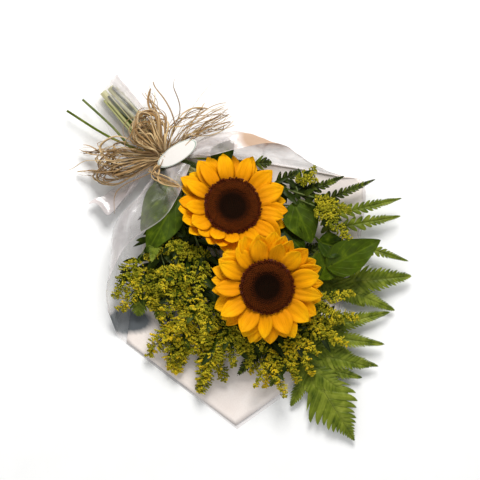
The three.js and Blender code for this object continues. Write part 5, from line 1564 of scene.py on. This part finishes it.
# Plumes that the solids leave out: share of the stem that the branch leaves, base, tip, width
MORE_PLUMES = {
    "goldenrod_1": [(0.72, V(86, -72, 30), V(138, -62, 20), 16), (0.55, V(40, -44, 32), V(46, -6, 40), 12)],
    "goldenrod_2": [(0.8, V(108, 4, 24), V(150, 44, 10), 20), (0.7, V(98, 18, 24), V(149, 51, 9), 20)],
    "goldenrod_3": [(0.95, V(66, 62, 34), V(98, 92, 28), 12), (0.95, V(50, 80, 34), V(86, 104, 22), 12),
                    (0.9, V(92, 54, 24), V(145, 86, 10), 19)],
    "goldenrod_4": [(0.9, V(36, 108, 30), V(58, 156, 24), 12), (0.9, V(20, 104, 32), V(20, 150, 30), 12)],
    "goldenrod_6": [(0.8, V(-104, 20, 40), V(-122, 56, 36), 10)],
}


def grow_branch(stem, greens, line, share, base, length, key):
    """A branch from a share of the stem's line to a plume's base, with its narrow leaves"""
    root = point_along(line, share)
    ahead = (point_along(line, min(1, share + 0.04)) - root).normalized()
    branch = spaced_points([root, root.lerp(base, 0.5) + ahead * 4, base], 8)
    stem.tube(branch, 0.9, 6, tone=0.5)
    add_lances(greens, branch, 0.15, 5, length, key)


def spray(plant, number):
    stem, greens, heads = Shape(), Scatter(), Scatter()
    plumes = Shape()
    line = plant.stem.line
    thin_stem(stem, line, 0.5)
    stem_tree = corner_tree(plant.name + "_stem")
    short = SHORT_LEAVED.get(plant.name, 1)
    add_lances(greens, line, 0.5, 16, STEM_LANCE * short, 7000 + 300 * number)
    nodes = []
    for k, (share, base, tip, width) in enumerate(plant.carries + MORE_PLUMES.get(plant.name, [])):
        solid = k < len(plant.carries)
        if share:
            lift = bend_of(stem_tree, LIFTS, lambda bend: [base + V(0, 0, bend)]) if solid else 0
            base, tip = base + V(0, 0, lift), tip + V(0, 0, lift)
            grow_branch(stem, greens, line, share, base, BRANCH_LANCE * short, 7100 + 300 * number + 20 * k)
        middle = [base, base.lerp(tip, 0.5) + V(0, 0, 3), tip]
        if solid:
            nodes.append(f"{plant.name}_plume_{k + 1}")
            middle = plume_of(nodes[-1], base, tip, width, 300 * number + 40 * k)
        key = 9000 + 1300 * number + 311 * k
        gold = PLUME_GOLD.get((plant.name, k), GOLD[plant.name] * (0.7 + 0.6 * draw(key + 8)))
        plume(plumes, heads, middle, width, gold, key)
        beside = sister(middle[0], middle[-1], key)
        line_beside = [beside[0], beside[0].lerp(beside[1], 0.5) + V(0, 0, 4), beside[1]]
        plume(plumes, heads, line_beside, width * SISTER_SIZE, SISTER_SIZE * gold, key + 77)
        start = [curve_point(middle, t / 6) for t in range(4)]
        add_lances(greens, start, 0.0, 4, PLUME_LANCE * short, 7200 + 300 * number + 20 * k)
    heads.into(plumes, small_head())
    piece(plant.name + "_plumes", plumes, FLORET, "goldenrod", *nodes, smooth=False, lowest=ON_PAPER)
    leafy = Shape()
    greens.into(leafy, small_leaf(LANCE_ROWS, LANCE_WIDTHS, 0.25, 0.9))
    piece(plant.name + "_leaves", leafy, LEAFY, "goldenrod_stem", lowest=ON_PAPER)
    piece(plant.name + "_stem_fine", stem, THIN_STEM, "goldenrod_stem", plant.name + "_stem")


# The raffia tie

BAND_WIDTH = 7
BAND_SPAN, KNOT_SPAN = 0.42, 0.6  # how far the outermost turns lie from the middle, as shares
LEAST_FIBRE, FIBRE_SPREAD, FIBRE_BIAS = 0.6, 1.8, 2.2  # half widths, most of them near the least
LONG_FIBRE = 40  # pieces of a loop's or a stray's line
STRAY_WANDER = 4.5
KNOT = V(-16, -134, 33)
KNOT_SIZE = V(11, 6.5, 5.6)
STRAND_LIFTS = (0, 5, 10, 16, 24)
# Loops: the middle of the far end, half the width there, and the lift
LOOPS = [
    (V(52, -184, 18), 11, 10), (V(46, -170, 30), 9, 8), (V(40, -192, 26), 12, 14),
    (V(-24, -190, 44), 15, 14), (V(-38, -186, 36), 12, 18), (V(-14, -178, 50), 10, 12),
]
# Loose ends: three points of each, from the knot outward
TAILS = [
    [V(-36, -133, 34.5), V(-58, -131, 36), V(-102, -116, 27)],
    [V(-36, -136, 35), V(-60, -140, 40), V(-104, -124, 33)],
    [V(-34, -131, 34), V(-57, -127, 37), V(-96, -108, 42)],
    [V(-32, -142, 36), V(-50, -151, 44), V(-88, -140, 34)],
    [V(-26, -147, 38), V(-42, -170, 46), V(-56, -200, 24)],
    [V(2, -133, 38), V(4, -116, 48), V(-2, -97, 57)],
    [V(2, -146, 36), V(20, -176, 32), V(46, -206, 8)],
    [V(4, -141, 36), V(32, -158, 36), V(66, -190, 6)],
]


def in_knot(toward, offset, level):
    way = toward - KNOT
    way.z = 0
    way.normalize()
    return KNOT + way * 5 + way.cross(UP) * offset + V(0, 0, level)


def loop_path(number, lift):
    far, spread, rise = LOOPS[number]
    level = (number % 3 - 1) * 2.8
    side = (far - KNOT).cross(UP).normalized()
    far = far + V(0, 0, lift)

    def near(sign, t, up):
        return KNOT.lerp(far, t) + side * (sign * spread * min(1, t * 1.4)) + V(0, 0, up)

    return [in_knot(far, 3, level), near(1, 0.35, rise), near(1, 0.8, rise * 0.7), far,
            near(-1, 0.8, rise * 0.5), near(-1, 0.35, rise * 0.8), in_knot(far, -3, level)]


def tail_path(number, lift):
    tail = TAILS[number]
    start = in_knot(tail[0], (number % 5 - 2) * 1.6, (number % 3 - 1) * 2.4)
    return [start, *(p + V(0, 0, lift * k / 2) for k, p in enumerate(tail))]


def fibre(shape, path, key, stray, segments=26):
    """One flat fibre that wanders about a path"""
    points = spaced_points(path, segments)
    last = len(points) - 1
    for i, p in enumerate(points):
        t = i / last
        free = min(1, 6 * t)
        wave = V(*(math.sin(t * (5 + 4 * draw(key + n)) + 6 * draw(key + 10 + n)) for n in range(3)))
        p += V(wave.x, wave.y, 0.7 * wave.z) * stray * free
    width = LEAST_FIBRE + FIBRE_SPREAD * draw(key + 20) ** FIBRE_BIAS
    shape.tube(points, lambda t: width * (1 - 0.5 * t**6), 4, flatness=0.3, tone=draw(key + 21))


def own_loop(path, key):
    """A loop's path with its own length, width and lean"""
    far = path[3]
    way = far - KNOT
    side = way.cross(UP).normalized()
    longer, wider = 0.72 + 0.36 * draw(key + 31), 0.5 + 0.9 * draw(key + 32)
    lean = way.length * 0.35 * (draw(key + 33) - 0.5)
    rise = 9 * (draw(key + 34) - 0.4)
    own = [path[0].copy()]
    for k, p in enumerate(path[1:-1]):
        along = (p - KNOT).dot(way) / way.length_squared
        across = (p - KNOT).dot(side)
        height = (p - KNOT).z - way.z * along
        free = min(1, k + 1, 5 - k) * along
        aside = side * (across * wider + lean * along)
        own.append(KNOT + way * along * longer + aside + UP * (height + rise * free))
    return [*own, path[-1].copy()]


def winding(shape, centre, axes, tilt, key):
    """One turn of raffia round the gathered wrap"""
    points = []
    for k in range(29):
        turn = k / 28 * 2 * math.pi
        wave = 0.25 * math.sin(3 * turn + 6 * draw(key))
        x = axes[0] * math.cos(turn)
        z = axes[1] * math.sin(turn)
        points.append(centre + V(x * (1 + 0.02 * wave), tilt * math.cos(turn + draw(key + 2)) + wave, z))
    shape.tube(points, 0.9 + 0.5 * draw(key + 1), 4, flatness=0.5, tone=draw(key + 3), closed_ends=False)


def round_knot(shape, k):
    """One turn of raffia across the knot"""
    shift = lerp(-KNOT_SPAN, KNOT_SPAN, k / (KNOT_TURNS - 1))
    size = math.sqrt(1 - shift * shift)
    points = []
    for n in range(25):
        turn = n / 24 * 2 * math.pi
        x = KNOT_SIZE.x * (shift + 0.08 * math.sin(turn + k))
        points.append(KNOT + V(x, KNOT_SIZE.y * size * math.cos(turn), KNOT_SIZE.z * size * math.sin(turn)))
    shape.tube(points, 1.0 + 0.4 * draw(k + 81), 4, flatness=0.6, tone=draw(k + 83), closed_ends=False)


LOOP_FIBRES = 13
TAIL_FIBRES = 11
BAND_TURNS, KNOT_TURNS = 9, 7
# Single fibres that stand out from the bow
STRAYS = [
    [V(-30, -142, 42), V(-60, -172, 52), V(-72, -206, 40)],
    [V(-26, -150, 44), V(-64, -160, 58), V(-92, -190, 38)],
    [V(-34, -140, 40), V(-70, -150, 50), V(-110, -150, 40)],
    [V(12, -150, 40), V(50, -196, 34), V(78, -206, 20)],
    [V(10, -134, 40), V(44, -140, 40), V(72, -128, 44)],
]


def raffia():
    shape = Shape()
    tree = corner_tree("raffia_tie")
    for number in range(len(LOOPS)):
        lift = bend_of(tree, STRAND_LIFTS, lambda bend: [loop_path(number, bend)[3]])
        for k in range(LOOP_FIBRES):
            key = 500 * number + 37 * k
            fibre(shape, own_loop(loop_path(number, lift), key), key, 1.2 + 0.1 * k, LONG_FIBRE)
    for number in range(len(TAILS)):
        lift = bend_of(tree, STRAND_LIFTS, lambda bend: [tail_path(number, bend)[-1]])
        for k in range(TAIL_FIBRES):
            fibre(shape, tail_path(number, lift), 4000 + 500 * number + 37 * k, 0.6 + 0.6 * k)
    for k, stray in enumerate(STRAYS):
        fibre(shape, [KNOT + V(0, 0, 3), *stray], 7600 + 37 * k, STRAY_WANDER, LONG_FIBRE)
    for k in range(BAND_TURNS):
        y = lerp(-BAND_SPAN, BAND_SPAN, k / (BAND_TURNS - 1)) * BAND_WIDTH
        grow = 1.25 + 0.7 * draw(k + 61)
        axes = (FILM_AT_TIE[0] + grow, FILM_AT_TIE[1] + grow)
        winding(shape, TIE + V(0, y, 0), axes, 0.5 * (draw(k + 63) - 0.5), 8000 + 11 * k)
    for k in range(KNOT_TURNS):
        round_knot(shape, k)
    piece("raffia_bow", shape, RAFFIA, "raffia", "raffia_tie")


LABEL = {"centre": V(-29, -126, 39.35), "half_length": 26, "half_width": 10, "thickness": 0.8,
         "tilt": -3, "turn": 167.7}
LABEL_SIDES = 64


def label():
    """An oval card, a little curved, with rounded edges"""
    tilt = Matrix.Rotation(math.radians(LABEL["tilt"]), 4, "Y")
    turn = Matrix.Rotation(math.radians(LABEL["turn"]), 4, "Z") @ tilt
    place = np.array(Matrix.Translation(LABEL["centre"]) @ turn)
    angles = np.arange(LABEL_SIDES + 1) / LABEL_SIDES * 2 * math.pi
    half = LABEL["thickness"] / 2
    section = [(0, half), (0.3, half), (0.6, half), (0.85, half), (0.97, half), (1, half * 0.4),
               (1, -half * 0.4), (0.97, -half), (0, -half)]
    rings = []
    for share, z in section:
        x = np.cos(angles) * share * LABEL["half_length"]
        y = np.sin(angles) * share * LABEL["half_width"]
        rings.append(np.stack([x, y, z + 0.25 * np.cos(x / 12)], axis=1))
    points = np.array(rings) @ place[:3, :3].T + place[:3, 3]
    shape = Shape()
    shape.grid(points)
    shares = np.repeat([share * 0.95 for share, _ in section[:6]] + [1, 1, 0], LABEL_SIDES + 1)
    shape.places[-1][:, 1] = shares
    piece("label_card", shape, LABEL_CARD, "label", "label")


# The room: a pale floor, soft light and a camera straight above

IMAGE_SIZE = 480
MM_PER_PIXEL = 1.15
CAMERA_DISTANCE = 3000
SHARP_HEIGHT = 30  # the height at which the picture's scale holds
PICTURE_CENTRE = V(-9.8, -4.9, 0)
SENSOR = 36
FARTHEST = 20  # of what the camera sees, in metres
# Lights, in metres and watts
KEY_LIGHT = {"place": (-1.02, -0.84, 1.42), "size": 0.9, "power": 35.5, "tint": (1, 0.99, 0.98)}
FILL_LIGHT = {"place": (1.2, 0.9, 1.6), "size": 1.6, "power": 8, "tint": (1, 1, 1)}
SKY = (0.98, 0.99, 1, 1)
SKY_STRENGTH = 0.41
FLOOR_HALF = 3.0


def area_light(name, place, size, power, tint):
    """A round light that shines on the middle of the floor"""
    data = bpy.data.lights.new(name, "AREA")
    data.shape = "DISK"
    data.size = size
    data.energy = power
    data.color = tint
    lamp = bpy.data.objects.new(name, data)
    lamp.location = place
    lamp.rotation_euler = (-Vector(place)).to_track_quat("-Z", "Y").to_euler()
    bpy.context.scene.collection.objects.link(lamp)


def camera_above(scene):
    data = bpy.data.cameras.new("camera")
    data.sensor_width = SENSOR
    data.lens = SENSOR * (CAMERA_DISTANCE - SHARP_HEIGHT) / (IMAGE_SIZE * MM_PER_PIXEL)
    data.clip_end = FARTHEST
    camera = bpy.data.objects.new("camera", data)
    right, up = V(-1, 1, 0).normalized(), V(-1, -1, 0).normalized()
    turn = Matrix([right, up, UP]).transposed().to_4x4()
    camera.matrix_world = Matrix.Translation((PICTURE_CENTRE + V(0, 0, CAMERA_DISTANCE)) * MM) @ turn
    scene.collection.objects.link(camera)
    scene.camera = camera


def lights(scene):
    world = bpy.data.worlds.new("room")
    world.use_nodes = True
    world.node_tree.nodes["Background"].inputs["Color"].default_value = SKY
    world.node_tree.nodes["Background"].inputs["Strength"].default_value = SKY_STRENGTH
    scene.world = world
    area_light("key", **KEY_LIGHT)
    area_light("fill", **FILL_LIGHT)


def pale_floor(scene):
    s = Surface("floor", Specular_IOR_Level=0.2)
    grain = s.noise(30, 3)
    base = s.ramp(grain, [(0.3, "fbfbfa"), (0.7, "fefefd")])
    material = s.finish(Base_Color=base, Roughness=s.rough(grain, 0.7, 0.8))
    mesh = bpy.data.meshes.new("floor")
    corners = [(x * FLOOR_HALF, y * FLOOR_HALF, 0) for x, y in ((-1, -1), (1, -1), (1, 1), (-1, 1))]
    mesh.from_pydata(corners, [], [(0, 1, 2, 3)])
    mesh.materials.append(material)
    floor = bpy.data.objects.new("floor", mesh)
    scene.collection.objects.link(floor)


bpy.context.scene.view_settings.view_transform = "Standard"
camera_above(bpy.context.scene)
lights(bpy.context.scene)
pale_floor(bpy.context.scene)
film_wrap()
paper_liner()
for one in HEADS:
    petals(one)
    disc(one)
    head_green(one)
for order, plant in enumerate(FERNS):
    frond(plant, order)
for order, plant in enumerate(SALALS):
    leafy_stem(plant, order)
for order, plant in enumerate(SPRAYS):
    spray(plant, order)
label()
raffia()

bpy.context.view_layer.update()
